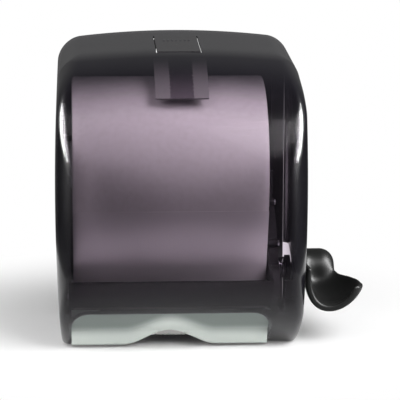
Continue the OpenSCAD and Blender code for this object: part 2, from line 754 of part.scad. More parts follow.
module pinch_rollers() {
    color([0.8, 0.8, 0.78]) from_foot() sleeve_row(pinch_p, pinch_r, pinch_shaft_r);
}
module clutch_drum() {
    color(paper) from_foot() tube(feed_p, feed_r - 3, feed_shaft_r, roll_x1 - drum_l, roll_x1);
}

// ---- Gears ----
mesh_a = aim(lever_p, feed_p);
gear_m = 2 * norm(feed_p - lever_p) / (pinion_teeth + sector_teeth);
sector_first = -2;
sector_last = 14;
sector_hub = 8;
sector_rim = 12;
function tooth(teeth, a) =
    let (r = gear_m * teeth / 2, step = 360 / teeth, r_tip = r + 0.7 * gear_m, r_root = r - 1.1 * gear_m)
    [polar(r_root, a - 0.34 * step), polar(r_tip, a - 0.1 * step),
     polar(r_tip, a + 0.1 * step), polar(r_root, a + 0.34 * step)];
module drive_pinion() {
    color(paper) from_foot() difference() {
        translate([0, feed_p[0], feed_p[1]]) along_x(gear_x0, gear_x1)
            polygon([for (i = [0:pinion_teeth - 1])
                each tooth(pinion_teeth, mesh_a + 180 + (i + 0.5) * 360 / pinion_teeth)]);
        rod(feed_p, feed_shaft_r, gear_x0 - eps, gear_x1 + eps);
    }
}
module sector_gear() {
    step = 360 / sector_teeth;
    color(paper) from_foot() difference() {
        translate([0, lever_p[0], lever_p[1]]) along_x(gear_x0, gear_x1) {
            polygon(concat([[0, 0]],
                [for (i = [sector_last:-1:sector_first]) each tooth(sector_teeth, mesh_a - i * step)]));
            circle(lever_shaft_r + sector_hub);
        }
        rod(lever_p, lever_shaft_r, gear_x0 - eps, gear_x1 + eps);
        // A window lightens the web of the sector
        intersection() {
            tube(lever_p, gear_m * sector_teeth / 2 - sector_rim, lever_shaft_r + 2.5 * sector_hub,
                 gear_x0 - eps, gear_x1 + eps);
            translate([0, lever_p[0], lever_p[1]]) along_x(gear_x0 - eps, gear_x1 + eps)
                polygon(concat([[0, 0]], arc([0, 0], 2 * gear_case_r, mesh_a - 42, mesh_a - 4, 3)));
        }
    }
}
module lever_stop() {
    a = mesh_a - (sector_last + 0.34) * 360 / sector_teeth;
    stop_r = 4;
    // The stop touches the lower flank of the sector where the lever comes to the end of its swing
    p = lever_p + polar(50, a) + polar(stop_r + run_gap, a - 90);
    color(rubber) from_foot() rod(p, stop_r, right_x1, box_x0);
}

// ---- Lever return spring ----
wire_r = 0.9;
turns = 4;
rings_per_turn = 8;
leg = 3;                // length of the wire's straight ends past the coil
coil_x0 = box_x1 + bush_flange + 2.6;
coil_x1 = collar_x0 - 2.2;
spring_a0 = 90;
spring_anchor = lever_p + polar(coil_r, spring_a0 - 360 / rings_per_turn);
coil_end_a = spring_a0 + 360 * turns;
// Each stop on the wire is [angle about the shaft, x, tilt of the wire out of the coil's plane]
spring_path = concat(
    [[spring_a0 - 45, box_x0, 90], [spring_a0 - 45, coil_x0 - leg, 90],
     [spring_a0 - 36, coil_x0 - wire_r, 45]],
    [for (i = [0:turns * rings_per_turn])
        [spring_a0 - 22 + 360 * i / rings_per_turn,
         coil_x0 + (coil_x1 - coil_x0) * i / (turns * rings_per_turn), 3]],
    [[coil_end_a - 8, coil_x1 + wire_r, 45], [coil_end_a, coil_x1 + leg, 90],
     [coil_end_a, collar_x0 + leg, 90]]);
function wire_mid(stop) = [stop[1], lever_p[0], lever_p[1]] + coil_r * [0, cos(stop[0]), sin(stop[0])];
function ring(stop) =
    let (u = [0, cos(stop[0]), sin(stop[0])], around = [0, -sin(stop[0]), cos(stop[0])],
         side = [cos(stop[2]), 0, 0] - around * sin(stop[2]))
    [for (k = [0:5]) wire_mid(stop) + wire_r * (cos(60 * k) * u + sin(60 * k) * side)];
module lever_spring() {
    n = len(spring_path);
    // Measured between all points of the wire that are more than half a turn apart
    echo(least_gap_of_coil = min([for (i = [0:n - 1], k = [i + rings_per_turn / 2 + 1:1:n - 1])
        norm(wire_mid(spring_path[i]) - wire_mid(spring_path[k]))]) - 2 * wire_r);
    color(steel) from_foot() polyhedron(
        points = [for (s = spring_path) each ring(s)],
        faces = concat([[for (k = [5:-1:0]) k]], [[for (k = [0:5]) 6 * (n - 1) + k]],
            [for (i = [0:n - 2], k = [0:5]) each [
                [6 * i + k, 6 * i + (k + 1) % 6, 6 * i + 6 + k],
                [6 * i + (k + 1) % 6, 6 * i + 6 + (k + 1) % 6, 6 * i + 6 + k]]]));
}
module spring_collar() {
    slot = wire_r + 0.3;
    color(black) from_foot() difference() {
        rod(lever_p, coil_r + collar_wall, collar_x0, collar_x1);
        rod(lever_p, lever_shaft_r, collar_x0 - eps, collar_x1 + eps);
        // An arc slot takes the end of the wire
        translate([collar_x0 - eps, lever_p[0], lever_p[1]]) intersection() {
            tube([0, 0], coil_r + slot, coil_r - slot, 0, leg + 2 * eps);
            along_x(0, leg + 2 * eps) polygon(concat([[0, 0]],
                arc([0, 0], 2 * coil_r, coil_end_a - 8 - lever_swing, coil_end_a + 8, 4)));
        }
    }
}

// ---- Lever ----
blade_steps = 10;
blade_across = 10;
blade_end = 0.6;        // the blade's thickness at its very tip, as a share of the lip's
hub_round = 16;
shaft_end = lever_x0 + hub_l - 6;
// The blade's section is a Bezier curve: [out from the cover's side, up from the shaft], at the hub
section_hub = [[3.6, 14], [5, -4], [12, -14], [30, -6]];
// The same at the tip
section_tip = [[3.3, 18], [-2.6, -39], [lever_out - 18, -29.5], [lever_out - 2.5, -2]];
function bezier(c, t) =
    pow(1 - t, 3) * c[0] + 3 * t * pow(1 - t, 2) * c[1] + 3 * t * t * (1 - t) * c[2] + pow(t, 3) * c[3];
// How far the section has changed at the share s of the reach
function ease(s) = sin(90 * min(1, s / 0.75));
// How far the outer corner of the tip is rounded back
function corner(s) = s > 0.8 ? 12 * (1 - sqrt(1 - 0.96 * pow((s - 0.8) / 0.2, 2))) : 0;
function blade_mid(s, t) =
    let (c = section_hub + ease(s) * (section_tip - section_hub))
    [lever_x0, lever_z] + bezier([c[0], c[1], c[2], c[3] - [corner(s), 0]], t);
function blade_normal(s, t) =
    let (d = blade_mid(s, min(1, t + 0.02)) - blade_mid(s, max(0, t - 0.02))) [-d[1], d[0]] / norm(d);
function blade_half(s, t) =
    let (lip = sin(90 * min(1, max(0, s - 0.75) / 0.15)))
    (s > 0.95 ? blade_end : 1) * (blade_t + (lip_t - blade_t) * lip) / 2 * sqrt(1 - 0.75 * pow(2 * t - 1, 8));
// One face of the blade's section, on the side k of its middle
function blade_face(s, k) = [
    for (i = [0:blade_across])
        let (t = (k > 0 ? i : blade_across - i) / blade_across,
             p = blade_mid(s, t) + k * blade_half(s, t) * blade_normal(s, t))
        [p[0], -lever_y - lever_reach * s, p[1]]];
module blade() {
    m = 2 * (blade_across + 1);
    polyhedron(
        points = [for (i = [0:blade_steps], k = [1, -1]) each blade_face(i / blade_steps, k)],
        faces = concat([[for (k = [m - 1:-1:0]) k]], [[for (k = [0:m - 1]) m * blade_steps + k]],
            [for (i = [0:blade_steps - 1], k = [0:m - 1]) each [
                [m * i + k, m * i + (k + 1) % m, m * i + m + k],
                [m * i + (k + 1) % m, m * i + m + (k + 1) % m, m * i + m + k]]]));
}
module lever() {
    color(black) from_foot() difference() {
        union() {
            translate([lever_x0, lever_p[0], lever_p[1]]) rotate([0, 90, 0]) rotate_extrude() {
                square([hub_r, hub_l - hub_round]);
                square([hub_r - hub_round, hub_l]);
                intersection() {
                    translate([hub_r - hub_round, hub_l - hub_round]) circle(hub_round);
                    square([hub_r, hub_l]);
                }
            }
            blade();
        }
        rod(lever_p, lever_shaft_r, lever_x0 - eps, shaft_end);
        lever_screw_place() translate([0, 0, -hub_r]) cylinder(r = screw_r, h = 2 * hub_r);
    }
}
module lever_screw_place() {
    translate([lever_x0 + 9, lever_p[0], lever_p[1]]) rotate([180, 0, 0])
        translate([0, 0, hub_r - 4]) children();
}
module lever_screw() {
    color(steel) from_foot() lever_screw_place() translate([0, 0, -hub_r + lever_shaft_r - 1])
        cylinder(r = screw_r, h = hub_r - lever_shaft_r - 1);
}
module lever_shaft() {
    color(steel) from_foot() difference() {
        rod(lever_p, lever_shaft_r, right_x0 - bush_flange - side_gap, shaft_end);
        lever_screw_place() translate([0, 0, -hub_r]) cylinder(r = screw_r, h = 2 * hub_r);
    }
}

// ---- Roll and its arms ----
flange_disc_t = 1.2;
plug_l = 7;
module paper_roll() {
    color(paper) from_foot() tube(roll_p, roll_r, core_r + core_wall, roll_x0, roll_x1);
}
module roll_core() {
    color([0.62, 0.5, 0.36]) from_foot() tube(roll_p, core_r + core_wall, core_r, roll_x0, roll_x1);
}
// The arm lies outside the end of the roll at x; s is the side that it is on
module arm(x, pivot_x, s) {
    end_r = arm_h / 2;
    x_in = x + s * (flange_disc_t + side_gap);
    from_foot() difference() {
        union() {
            translate([min(x_in, x_in + s * arm_t), 0, 0]) {
                along_x(0, arm_t) translate([roll_p[0], roll_z - end_r]) square([arm_y - roll_p[0], arm_h]);
                rod(roll_p, end_r, 0, arm_t);
            }
            translate([pivot_x, arm_y, roll_z - end_r]) cylinder(r = pivot_r + barrel_wall, h = arm_h);
        }
        translate([pivot_x, arm_y, roll_z - arm_h]) cylinder(r = pivot_r + bore_fit, h = 2 * arm_h);
    }
}
module hub(x, s) {
    x_in = x + s * side_gap;
    from_foot() translate([x_in, roll_p[0], roll_p[1]]) rotate([0, s * 90, 0]) {
        cylinder(r = core_r + 5, h = flange_disc_t);
        translate([0, 0, -plug_l]) cylinder(r1 = core_r - 2.5, r2 = core_r - 0.4, h = plug_l);
    }
}
module left_arm() { color(black) arm(roll_x0, left_pivot_x, -1); }
module right_arm() { color(black) arm(roll_x1, right_pivot_x, 1); }
module left_hub() { color(grey) hub(roll_x0, -1); }
module right_hub() { color(grey) hub(roll_x1, 1); }

front_cover();
latch_bracket();
latch_pin();
latch_tab();
back_housing();
latch_keeper();
hinge_pins();
arm_pins();
left_frame();
right_frame();
gearbox_cover();
frame_screws();
gearbox_screws();
roller_guard();
paper_chute();
web_guide();
tear_bar();
tear_bar_screws();
feed_bushes();
lever_bushes();
pinch_blocks();
pinch_springs();
lever_spring();
lever_stop();
paper_web();
feed_shaft();
feed_grips();
drive_pinion();
clutch_drum();
pinch_shaft();
pinch_rollers();
paper_roll();
roll_core();
left_arm();
left_hub();
right_arm();
right_hub();
lever();
lever_shaft();
sector_gear();
spring_collar();
lever_screw();
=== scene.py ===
"""Looks of the lever paper towel dispenser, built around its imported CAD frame."""
from __future__ import annotations

import functools
import logging
import math
from dataclasses import dataclass
from enum import Enum
from typing import Sequence

import bpy
import bmesh
import numpy as np
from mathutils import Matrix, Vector


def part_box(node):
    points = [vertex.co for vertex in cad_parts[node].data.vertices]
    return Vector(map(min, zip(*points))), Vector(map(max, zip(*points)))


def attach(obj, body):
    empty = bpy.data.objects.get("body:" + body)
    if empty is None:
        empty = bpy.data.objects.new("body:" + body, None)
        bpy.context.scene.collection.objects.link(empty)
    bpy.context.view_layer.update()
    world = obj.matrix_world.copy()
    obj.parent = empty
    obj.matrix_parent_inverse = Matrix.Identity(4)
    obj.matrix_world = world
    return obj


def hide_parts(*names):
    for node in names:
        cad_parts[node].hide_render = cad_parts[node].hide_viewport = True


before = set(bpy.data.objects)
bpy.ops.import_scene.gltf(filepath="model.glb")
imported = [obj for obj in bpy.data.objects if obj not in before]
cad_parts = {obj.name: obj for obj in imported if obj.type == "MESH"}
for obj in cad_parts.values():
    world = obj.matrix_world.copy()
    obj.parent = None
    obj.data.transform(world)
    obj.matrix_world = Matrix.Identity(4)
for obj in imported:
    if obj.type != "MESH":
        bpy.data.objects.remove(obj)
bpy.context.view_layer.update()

log = logging.getLogger("dispenser")
MM = 0.001
FOOT = 0.162          # the foot of the case lies this far below the frame's origin
MID_X = -0.012        # middle of the roll, the chute and the sheet
PAPER_WHITE = (0.86, 0.85, 0.83)
DUST_COLOUR = (0.42, 0.41, 0.39)
COAT_ROUGH = 0.03
GLOW_DEPTH = 0.004    # how far light soaks into a cloudy plastic, in metres
Colour = tuple[float, float, float]
Point = tuple[float, float, float]
Object = bpy.types.Object
Tree = bpy.types.ShaderNodeTree
Socket = bpy.types.NodeSocket


class Body(str, Enum):
    """The CAD bodies that the pieces ride on."""

    CASE = "case"
    COVER = "cover"
    LATCH = "latch"
    LEVER = "lever_set"
    ROLL = "roll"


class Slot(str, Enum):
    """Names of the record's material slots, one for each kind of new piece."""

    SMOKE = "smoke_plastic"
    TAB = "smoke_tab"
    LEVER = "black_lever"
    CHUTE = "grey_chute"
    STEEL = "steel"
    PAPER = "towel_paper"


# ---------------------------------------------------------------- small helpers

def smoothstep(a: float, b: float, v: np.ndarray | float) -> np.ndarray | float:
    """Returns 0 below a, 1 above b and a smooth rise between them."""
    t = np.clip((v - a) / (b - a), 0.0, 1.0)
    return t * t * (3 - 2 * t)


def spot(x: float, y: float, z: float) -> Point:
    """Returns the point in metres of a place in millimetres, whose Z counts from the foot."""
    return x * MM, y * MM, z * MM - FOOT


def meet(a: np.ndarray, b: np.ndarray | float, r: float | np.ndarray) -> np.ndarray:
    """Joins two distances to where their solids overlap.

    Args:
        a: Distance to the first solid.
        b: Distance to the second.
        r: Radius of the edge between them.

    Returns:
        The joined distance.
    """
    p, q = np.maximum(a + r, 0), np.maximum(b + r, 0)
    return np.where((p > 0) & (q > 0), np.hypot(p, q) - r, np.maximum(a, b))


def new_object(name: str, verts: Sequence, faces: Sequence, smooth: bool = True) -> Object:
    """Makes a mesh object in the scene.

    Args:
        name: Name of the piece.
        verts: Points in metres.
        faces: Point numbers of each face.
        smooth: Whether the faces are shaded smooth.

    Returns:
        The object, at the origin.
    """
    mesh = bpy.data.meshes.new(name)
    mesh.from_pydata([tuple(v) for v in verts], [], [tuple(f) for f in faces])
    mesh.validate()
    obj = bpy.data.objects.new(name, mesh)
    bpy.context.scene.collection.objects.link(obj)
    if smooth:
        mesh.polygons.foreach_set("use_smooth", [True] * len(mesh.polygons))
    return obj


def grid_faces(rows: int, cols: int, flip: bool = False, start: int = 0) -> list[tuple]:
    """Returns the quads of a grid of points.

    Args:
        rows: Number of rows of points.
        cols: Number of points in a row.
        flip: Whether the faces turn the other way.
        start: Number of the first point.

    Returns:
        The quads as point numbers.
    """
    out = []
    for i in range(rows - 1):
        for j in range(cols - 1):
            a, b = start + i * cols + j, start + (i + 1) * cols + j
            q = (a, a + 1, b + 1, b)
            out.append(q[::-1] if flip else q)
    return out


def slab(name: str, front: Sequence[Point], back: Sequence[Point], rows: int, cols: int) -> Object:
    """Closes two grids of points into a sheet with a front, a back and edges.

    Args:
        name: Name of the piece.
        front: Points of the front, row by row.
        back: Points of the back.
        rows: Number of rows.
        cols: Points in a row.

    Returns:
        The sheet, not yet cleaned.
    """
    n = rows * cols
    loop = [*range(cols), *range(2 * cols - 1, n, cols), *range(n - 2, n - cols - 1, -1),
            *range(n - 2 * cols, 0, -cols)]
    faces = grid_faces(rows, cols) + grid_faces(rows, cols, flip=True, start=n)
    faces += [(a, b, n + b, n + a) for a, b in zip(loop, loop[1:] + loop[:1])]
    return new_object(name, [*front, *back], faces)


def poly_line(name: str, points: Sequence[Point]) -> Object:
    """Makes a curve object of straight stretches.

    Args:
        name: Name of the object.
        points: Its points in metres.

    Returns:
        The curve object.
    """
    curve = bpy.data.curves.new(name, "CURVE")
    curve.dimensions = "3D"
    spline = curve.splines.new("POLY")
    spline.points.add(len(points) - 1)
    for p, co in zip(spline.points, points):
        p.co = (*co, 1.0)
    obj = bpy.data.objects.new(name, curve)
    bpy.context.scene.collection.objects.link(obj)
    return obj


def clean(obj: Object, merge: float = 1e-6) -> Object:
    """Merges doubles and turns the faces outward.

    Args:
        obj: The object to clean.
        merge: Points closer than this are merged, in metres.

    Returns:
        The same object.
    """
    bm = bmesh.new()
    bm.from_mesh(obj.data)
    bmesh.ops.remove_doubles(bm, verts=bm.verts, dist=merge)
    bmesh.ops.dissolve_degenerate(bm, edges=bm.edges, dist=1e-7)
    bmesh.ops.recalc_face_normals(bm, faces=bm.faces)
    bm.to_mesh(obj.data)
    bm.free()
    return obj


def evaluated_mesh(obj: Object) -> bpy.types.Mesh:
    """Returns the mesh that the object's modifiers make."""
    bpy.context.view_layer.update()
    dg = bpy.context.evaluated_depsgraph_get()
    return bpy.data.meshes.new_from_object(obj.evaluated_get(dg))


def apply_modifiers(obj: Object) -> Object:
    """Turns the object with its modifiers into a plain mesh and returns it."""
    mesh = evaluated_mesh(obj)
    obj.modifiers.clear()
    obj.data = mesh
    return obj


def round_edges(obj: Object, width: float = 0.0004, segments: int = 2) -> Object:
    """Rounds the object's sharp edges with a bevel and returns the object."""
    bevel = obj.modifiers.new("round", "BEVEL")
    bevel.width, bevel.segments = width, segments
    return apply_modifiers(obj)


def prism(name: str, outline: Sequence[tuple[float, float]], lo: float, hi: float,
          axis: int) -> Object:
    """Extrudes an outline along an axis.

    Args:
        name: Name of the object.
        outline: Points in the two other axes, in metres.
        lo: Lower end along the axis.
        hi: Upper end along the axis.
        axis: 0, 1 or 2 for X, Y or Z.

    Returns:
        The closed prism.
    """
    n = len(outline)
    verts = []
    for end in (lo, hi):
        for a, b in outline:
            p = [a, b]
            p.insert(axis, end)
            verts.append(p)
    faces = [tuple(range(n)), tuple(range(2 * n - 1, n - 1, -1))]
    faces += [(i, (i + 1) % n, n + (i + 1) % n, n + i) for i in range(n)]
    return clean(new_object(name, verts, faces, smooth=False))


def cut(obj: Object, cutters: Sequence[Object]) -> Object:
    """Cuts solids out of a piece and removes them.

    Args:
        obj: The piece.
        cutters: The solids to take away.

    Returns:
        The piece as a plain mesh.
    """
    for c in cutters:
        mod = obj.modifiers.new(c.name, "BOOLEAN")
        mod.operation, mod.object, mod.solver = "DIFFERENCE", c, "MANIFOLD"
    apply_modifiers(obj)
    for c in cutters:
        bpy.data.objects.remove(c)
    return obj


def smooth_by_angle(obj: Object, degrees: float) -> Object:
    """Shades the object smooth except at edges sharper than the angle, and returns it."""
    mesh = obj.data
    mesh.polygons.foreach_set("use_smooth", [True] * len(mesh.polygons))
    bm = bmesh.new()
    bm.from_mesh(mesh)
    limit = math.radians(degrees)
    for e in bm.edges:
        e.smooth = len(e.link_faces) == 2 and e.calc_face_angle(0.0) < limit
    bm.to_mesh(mesh)
    bm.free()
    return obj


def surface_nets(values: np.ndarray, start: np.ndarray, step: float) -> tuple[np.ndarray, list[tuple]]:
    """Wraps a mesh round the inside of a field of distances.

    Args:
        values: Distances on a regular grid, negative inside.
        start: Place of the first grid point.
        step: Grid spacing.

    Returns:
        Points and quads.
    """
    inside = values < 0
    nx, ny, nz = (n - 1 for n in values.shape)
    total, count = np.zeros((nx, ny, nz, 3)), np.zeros((nx, ny, nz))
    corners = [(i, j, k) for i in (0, 1) for j in (0, 1) for k in (0, 1)]
    for a in corners:
        for axis in range(3):
            if a[axis]:
                continue
            b = tuple(v + (n == axis) for n, v in enumerate(a))
            va, vb = (values[c[0]:c[0] + nx, c[1]:c[1] + ny, c[2]:c[2] + nz] for c in (a, b))
            crosses = (va < 0) != (vb < 0)
            share = np.where(crosses, va / np.where(crosses, va - vb, 1.0), 0.0)
            for n in range(3):
                total[..., n] += np.where(crosses, a[n] + (share if n == axis else 0.0), 0.0)
            count += crosses
    used = count > 0
    number = np.full(used.shape, -1)
    number[used] = np.arange(used.sum())
    cell = np.argwhere(used)
    verts = start + (cell + total[used] / count[used][:, None]) * step
    faces = []
    for axis in range(3):
        u, v = (axis + 1) % 3, (axis + 2) % 3
        low = [slice(1, -1)] * 3
        low[axis] = slice(0, -1)
        high = list(low)
        high[axis] = slice(1, None)
        first, second = inside[tuple(low)], inside[tuple(high)]
        at = np.argwhere(first != second)
        at[:, u] += 1
        at[:, v] += 1
        rises = first[first != second]
        ring = []
        for du, dv in ((1, 1), (0, 1), (0, 0), (1, 0)):
            c = at.copy()
            c[:, u] -= du
            c[:, v] -= dv
            ring.append(number[c[:, 0], c[:, 1], c[:, 2]])
        quads = np.stack(ring, axis=1)
        quads[~rises] = quads[~rises][:, ::-1]
        faces += [tuple(int(n) for n in q) for q in quads]
    return verts, faces


# ---------------------------------------------------------------- shader groups

def start_group(name: str, inputs: dict[str, float], outputs: Sequence[str]) -> tuple:
    """Starts a shader node group whose sockets are numbers.

    Args:
        name: Name of the group.
        inputs: Name and default of each input.
        outputs: Name of each output.

    Returns:
        The group, its input node and its output node.
    """
    tree = bpy.data.node_groups.new(name, "ShaderNodeTree")
    for label, value in inputs.items():
        tree.interface.new_socket(label, in_out="INPUT", socket_type="NodeSocketFloat").default_value = value
    for label in outputs:
        tree.interface.new_socket(label, in_out="OUTPUT", socket_type="NodeSocketFloat")
    return tree, tree.nodes.new("NodeGroupInput"), tree.nodes.new("NodeGroupOutput")


@functools.cache
def grain_group() -> Tree:
    """Builds the group that gives moulded grain as a height and a slow mottle, and returns it."""
    tree, gin, gout = start_group("moulded_grain", {"Grain Scale": 900.0, "Mottle Scale": 14.0},
                                  ("Height", "Mottle"))
    link, coords = tree.links.new, tree.nodes.new("ShaderNodeTexCoord")
    for detail, socket, out in ((3.0, "Grain Scale", "Height"), (4.0, "Mottle Scale", "Mottle")):
        noise = tree.nodes.new("ShaderNodeTexNoise")
        noise.inputs["Detail"].default_value = detail
        link(coords.outputs["Object"], noise.inputs["Vector"])
        link(gin.outputs[socket], noise.inputs["Scale"])
        link(noise.outputs["Fac"], gout.inputs[out])
    return tree


@functools.cache
def wear_group() -> Tree:
    """Builds the group that masks exposed edges, broken up by noise, and returns it."""
    rise = 0.06
    tree, gin, gout = start_group("edge_wear", {"Start": 0.53, "Break Up": 160.0}, ("Mask",))
    link = tree.links.new
    coords, geo, noise, reach, out, top = (tree.nodes.new("ShaderNode" + kind) for kind in (
        "TexCoord", "NewGeometry", "TexNoise", "MapRange", "Math", "Math"))
    out.operation, top.operation = "MULTIPLY", "ADD"
    top.inputs[1].default_value = rise
    link(coords.outputs["Object"], noise.inputs["Vector"])
    link(gin.outputs["Break Up"], noise.inputs["Scale"])
    link(geo.outputs["Pointiness"], reach.inputs["Value"])
    link(gin.outputs["Start"], reach.inputs["From Min"])
    link(gin.outputs["Start"], top.inputs[0])
    link(top.outputs[0], reach.inputs["From Max"])
    link(reach.outputs["Result"], out.inputs[0])
    link(noise.outputs["Fac"], out.inputs[1])
    link(out.outputs[0], gout.inputs["Mask"])
    return tree


@functools.cache
def dust_group() -> Tree:
    """Builds the group that masks a faint film of dust on faces that look up, and returns it."""
    scale, detail, steepest = 45.0, 5.0, 0.6
    tree, gin, gout = start_group("settled_dust", {"Amount": 0.2}, ("Mask",))
    link = tree.links.new
    coords, geo, split, noise, up, speckle, film = (tree.nodes.new("ShaderNode" + kind) for kind in (
        "TexCoord", "NewGeometry", "SeparateXYZ", "TexNoise", "MapRange", "Math", "Math"))
    speckle.operation = film.operation = "MULTIPLY"
    noise.inputs["Scale"].default_value = scale
    noise.inputs["Detail"].default_value = detail
    up.inputs["From Min"].default_value, up.inputs["From Max"].default_value = steepest, 1.0
    link(coords.outputs["Object"], noise.inputs["Vector"])
    link(geo.outputs["Normal"], split.inputs[0])
    link(split.outputs["Z"], up.inputs["Value"])
    link(up.outputs["Result"], speckle.inputs[0])
    link(noise.outputs["Fac"], speckle.inputs[1])
    link(speckle.outputs[0], film.inputs[0])
    link(gin.outputs["Amount"], film.inputs[1])
    link(film.outputs[0], gout.inputs["Mask"])
    return tree


# ---------------------------------------------------------------- finishes

@dataclass(frozen=True)
class Finish:
    """A surface with grain, mottle, edge wear and dust in its nodes.

    Args:
        name: Name of the material.
        colour: Linear base colour.
        rough: Roughness.
        metal: 1 for bare metal.
        grain: Grain frequency, per metre.
        relief: Depth of the grain, in metres.
        mottle: How much colour and roughness vary.
        worn: How light worn edges are.
        dust: Amount of dust on faces that look up.
        coat: Clear coat weight.
        ior: Index of refraction.
        glow: Subsurface weight, for parts that light soaks into.
    """

    name: str
    colour: Colour
    rough: float = 0.5
    metal: float = 0.0
    grain: float = 900.0
    relief: float = 0.00004
    mottle: float = 0.12
    worn: float = 0.12
    dust: float = 0.06
    coat: float = 0.0
    ior: float = 1.47
    glow: float = 0.0

    def mix(self, tree: Tree, kind: str, fac: Socket, a: Colour | Socket, b: Colour | Socket) -> Socket:
        """Adds a colour mix node.

        Args:
            tree: Nodes of the material.
            kind: Blend type.
            fac: Socket that drives the mix.
            a: Colour or socket at 0.
            b: Colour or socket at 1.

        Returns:
            The colour output.
        """
        m = tree.nodes.new("ShaderNodeMix")
        m.data_type, m.blend_type = "RGBA", kind
        tree.links.new(fac, m.inputs[0])
        for value, socket in ((a, m.inputs[6]), (b, m.inputs[7])):
            if isinstance(value, tuple):
                socket.default_value = (*value, 1.0)
            else:
                tree.links.new(value, socket)
        return m.outputs[2]

    def make(self) -> bpy.types.Material:
        """Builds the material and returns it, or returns the one that is built."""
        found = bpy.data.materials.get(self.name)
        if found:
            return found
        mat = bpy.data.materials.new(self.name)
        mat.use_nodes = True
        tree = mat.node_tree
        nodes, links = tree.nodes, tree.links
        shader = nodes["Principled BSDF"]
        shader.inputs["Metallic"].default_value = self.metal
        shader.inputs["IOR"].default_value = self.ior
        shader.inputs["Coat Weight"].default_value = self.coat
        shader.inputs["Coat Roughness"].default_value = COAT_ROUGH
        if self.glow:
            shader.inputs["Subsurface Weight"].default_value = self.glow
            shader.inputs["Subsurface Radius"].default_value = (GLOW_DEPTH,) * 3
        grain, wear, dust = (nodes.new("ShaderNodeGroup") for _ in range(3))
        grain.node_tree, wear.node_tree, dust.node_tree = grain_group(), wear_group(), dust_group()
        grain.inputs["Grain Scale"].default_value = self.grain
        dust.inputs["Amount"].default_value = self.dust
        dark = tuple(c * (1 - self.mottle) for c in self.colour)
        light = tuple(min(1.0, c * (1 + self.mottle)) for c in self.colour)
        edge = tuple(min(1.0, c + self.worn) for c in self.colour)
        col = self.mix(tree, "MIX", grain.outputs["Mottle"], dark, light)
        col = self.mix(tree, "MIX", wear.outputs["Mask"], col, edge)
        col = self.mix(tree, "MIX", dust.outputs["Mask"], col, DUST_COLOUR)
        links.new(self.decorate(tree, col), shader.inputs["Base Color"])
        rough = nodes.new("ShaderNodeMapRange")
        rough.inputs["To Min"].default_value = max(0.0, self.rough * (1 - 2 * self.mottle))
        rough.inputs["To Max"].default_value = min(1.0, self.rough * (1 + 2 * self.mottle))
        links.new(grain.outputs["Mottle"], rough.inputs["Value"])
        links.new(rough.outputs["Result"], shader.inputs["Roughness"])
        bump = nodes.new("ShaderNodeBump")
        bump.inputs["Distance"].default_value = self.relief
        bump.inputs["Strength"].default_value = 1.0
        links.new(self.height(tree, grain.outputs["Height"]), bump.inputs["Height"])
        links.new(bump.outputs["Normal"], shader.inputs["Normal"])
        self.open_up(tree, shader)
        return mat

    def open_up(self, tree: Tree, shader: bpy.types.Node) -> None:
        """Leaves the surface solid; see-through finishes change it."""

    def decorate(self, tree: Tree, colour: Socket) -> Socket:
        """Returns the colour unchanged; finishes with a pattern change it."""
        return colour

    def height(self, tree: Tree, grain: Socket) -> Socket:
        """Returns the grain's height unchanged; finishes with a relief add to it."""
        return grain


@dataclass(frozen=True)
class SmokeFinish(Finish):
    """Smoke-coloured clear plastic: seen straight on it lets light through, and at a slant hardly any.

    Args:
        tint: Colour of what passes through.
        straight: How much one face holds back, seen straight on.
        slant: How much it holds back, seen at a slant.
        turn: Where between straight (0) and edge on (1) it changes over.
    """

    tint: Colour = (0.93, 0.885, 0.935)
    straight: float = 0.10
    slant: float = 0.985
    turn: tuple[float, float] = (0.06, 0.5)
    coat: float = 0.3
    ior: float = 1.34

    def open_up(self, tree: Tree, shader: bpy.types.Node) -> None:
        """Mixes the shader with a tinted Transparent shader.

        Args:
            tree: Nodes of the material.
            shader: The Principled shader.
        """
        nodes, links = tree.nodes, tree.links
        clear, mix = nodes.new("ShaderNodeBsdfTransparent"), nodes.new("ShaderNodeMixShader")
        turned, reach = nodes.new("ShaderNodeLayerWeight"), nodes.new("ShaderNodeMapRange")
        clear.inputs["Color"].default_value = (*self.tint, 1.0)
        turned.inputs["Blend"].default_value = 0.5
        reach.interpolation_type = "SMOOTHSTEP"
        reach.inputs["From Min"].default_value, reach.inputs["From Max"].default_value = self.turn
        reach.inputs["To Min"].default_value, reach.inputs["To Max"].default_value = self.straight, self.slant
        links.new(turned.outputs["Facing"], reach.inputs["Value"])
        links.new(reach.outputs["Result"], mix.inputs[0])
        links.new(clear.outputs[0], mix.inputs[1])
        links.new(shader.outputs[0], mix.inputs[2])
        links.new(mix.outputs[0], nodes["Material Output"].inputs["Surface"])


@dataclass(frozen=True)
class PaperFinish(Finish):
    """Towel paper: fine fibres and rows of embossed dots that follow the sheet's own UV map.

    Args:
        dots: Dots per metre.
        scatter: How uneven their rows are.
        dent: How deep they are beside the fibres.
    """

    dots: float = 260.0
    scatter: float = 0.3
    dent: float = -0.5

    def height(self, tree: Tree, grain: Socket) -> Socket:
        """Adds embossed dots to the fibres.

        Args:
            tree: Nodes of the material.
            grain: Height of the fibres.

        Returns:
            The summed height.
        """
        nodes, links = tree.nodes, tree.links
        uv, dots = nodes.new("ShaderNodeUVMap"), nodes.new("ShaderNodeTexVoronoi")
        uv.uv_map = "sheet"
        dots.inputs["Scale"].default_value = self.dots
        dots.inputs["Randomness"].default_value = self.scatter
        links.new(uv.outputs[0], dots.inputs["Vector"])
        add = nodes.new("ShaderNodeMath")
        add.operation = "MULTIPLY_ADD"
        add.inputs[1].default_value = self.dent
        links.new(dots.outputs["Distance"], add.inputs[0])
        links.new(grain, add.inputs[2])
        return add.outputs[0]


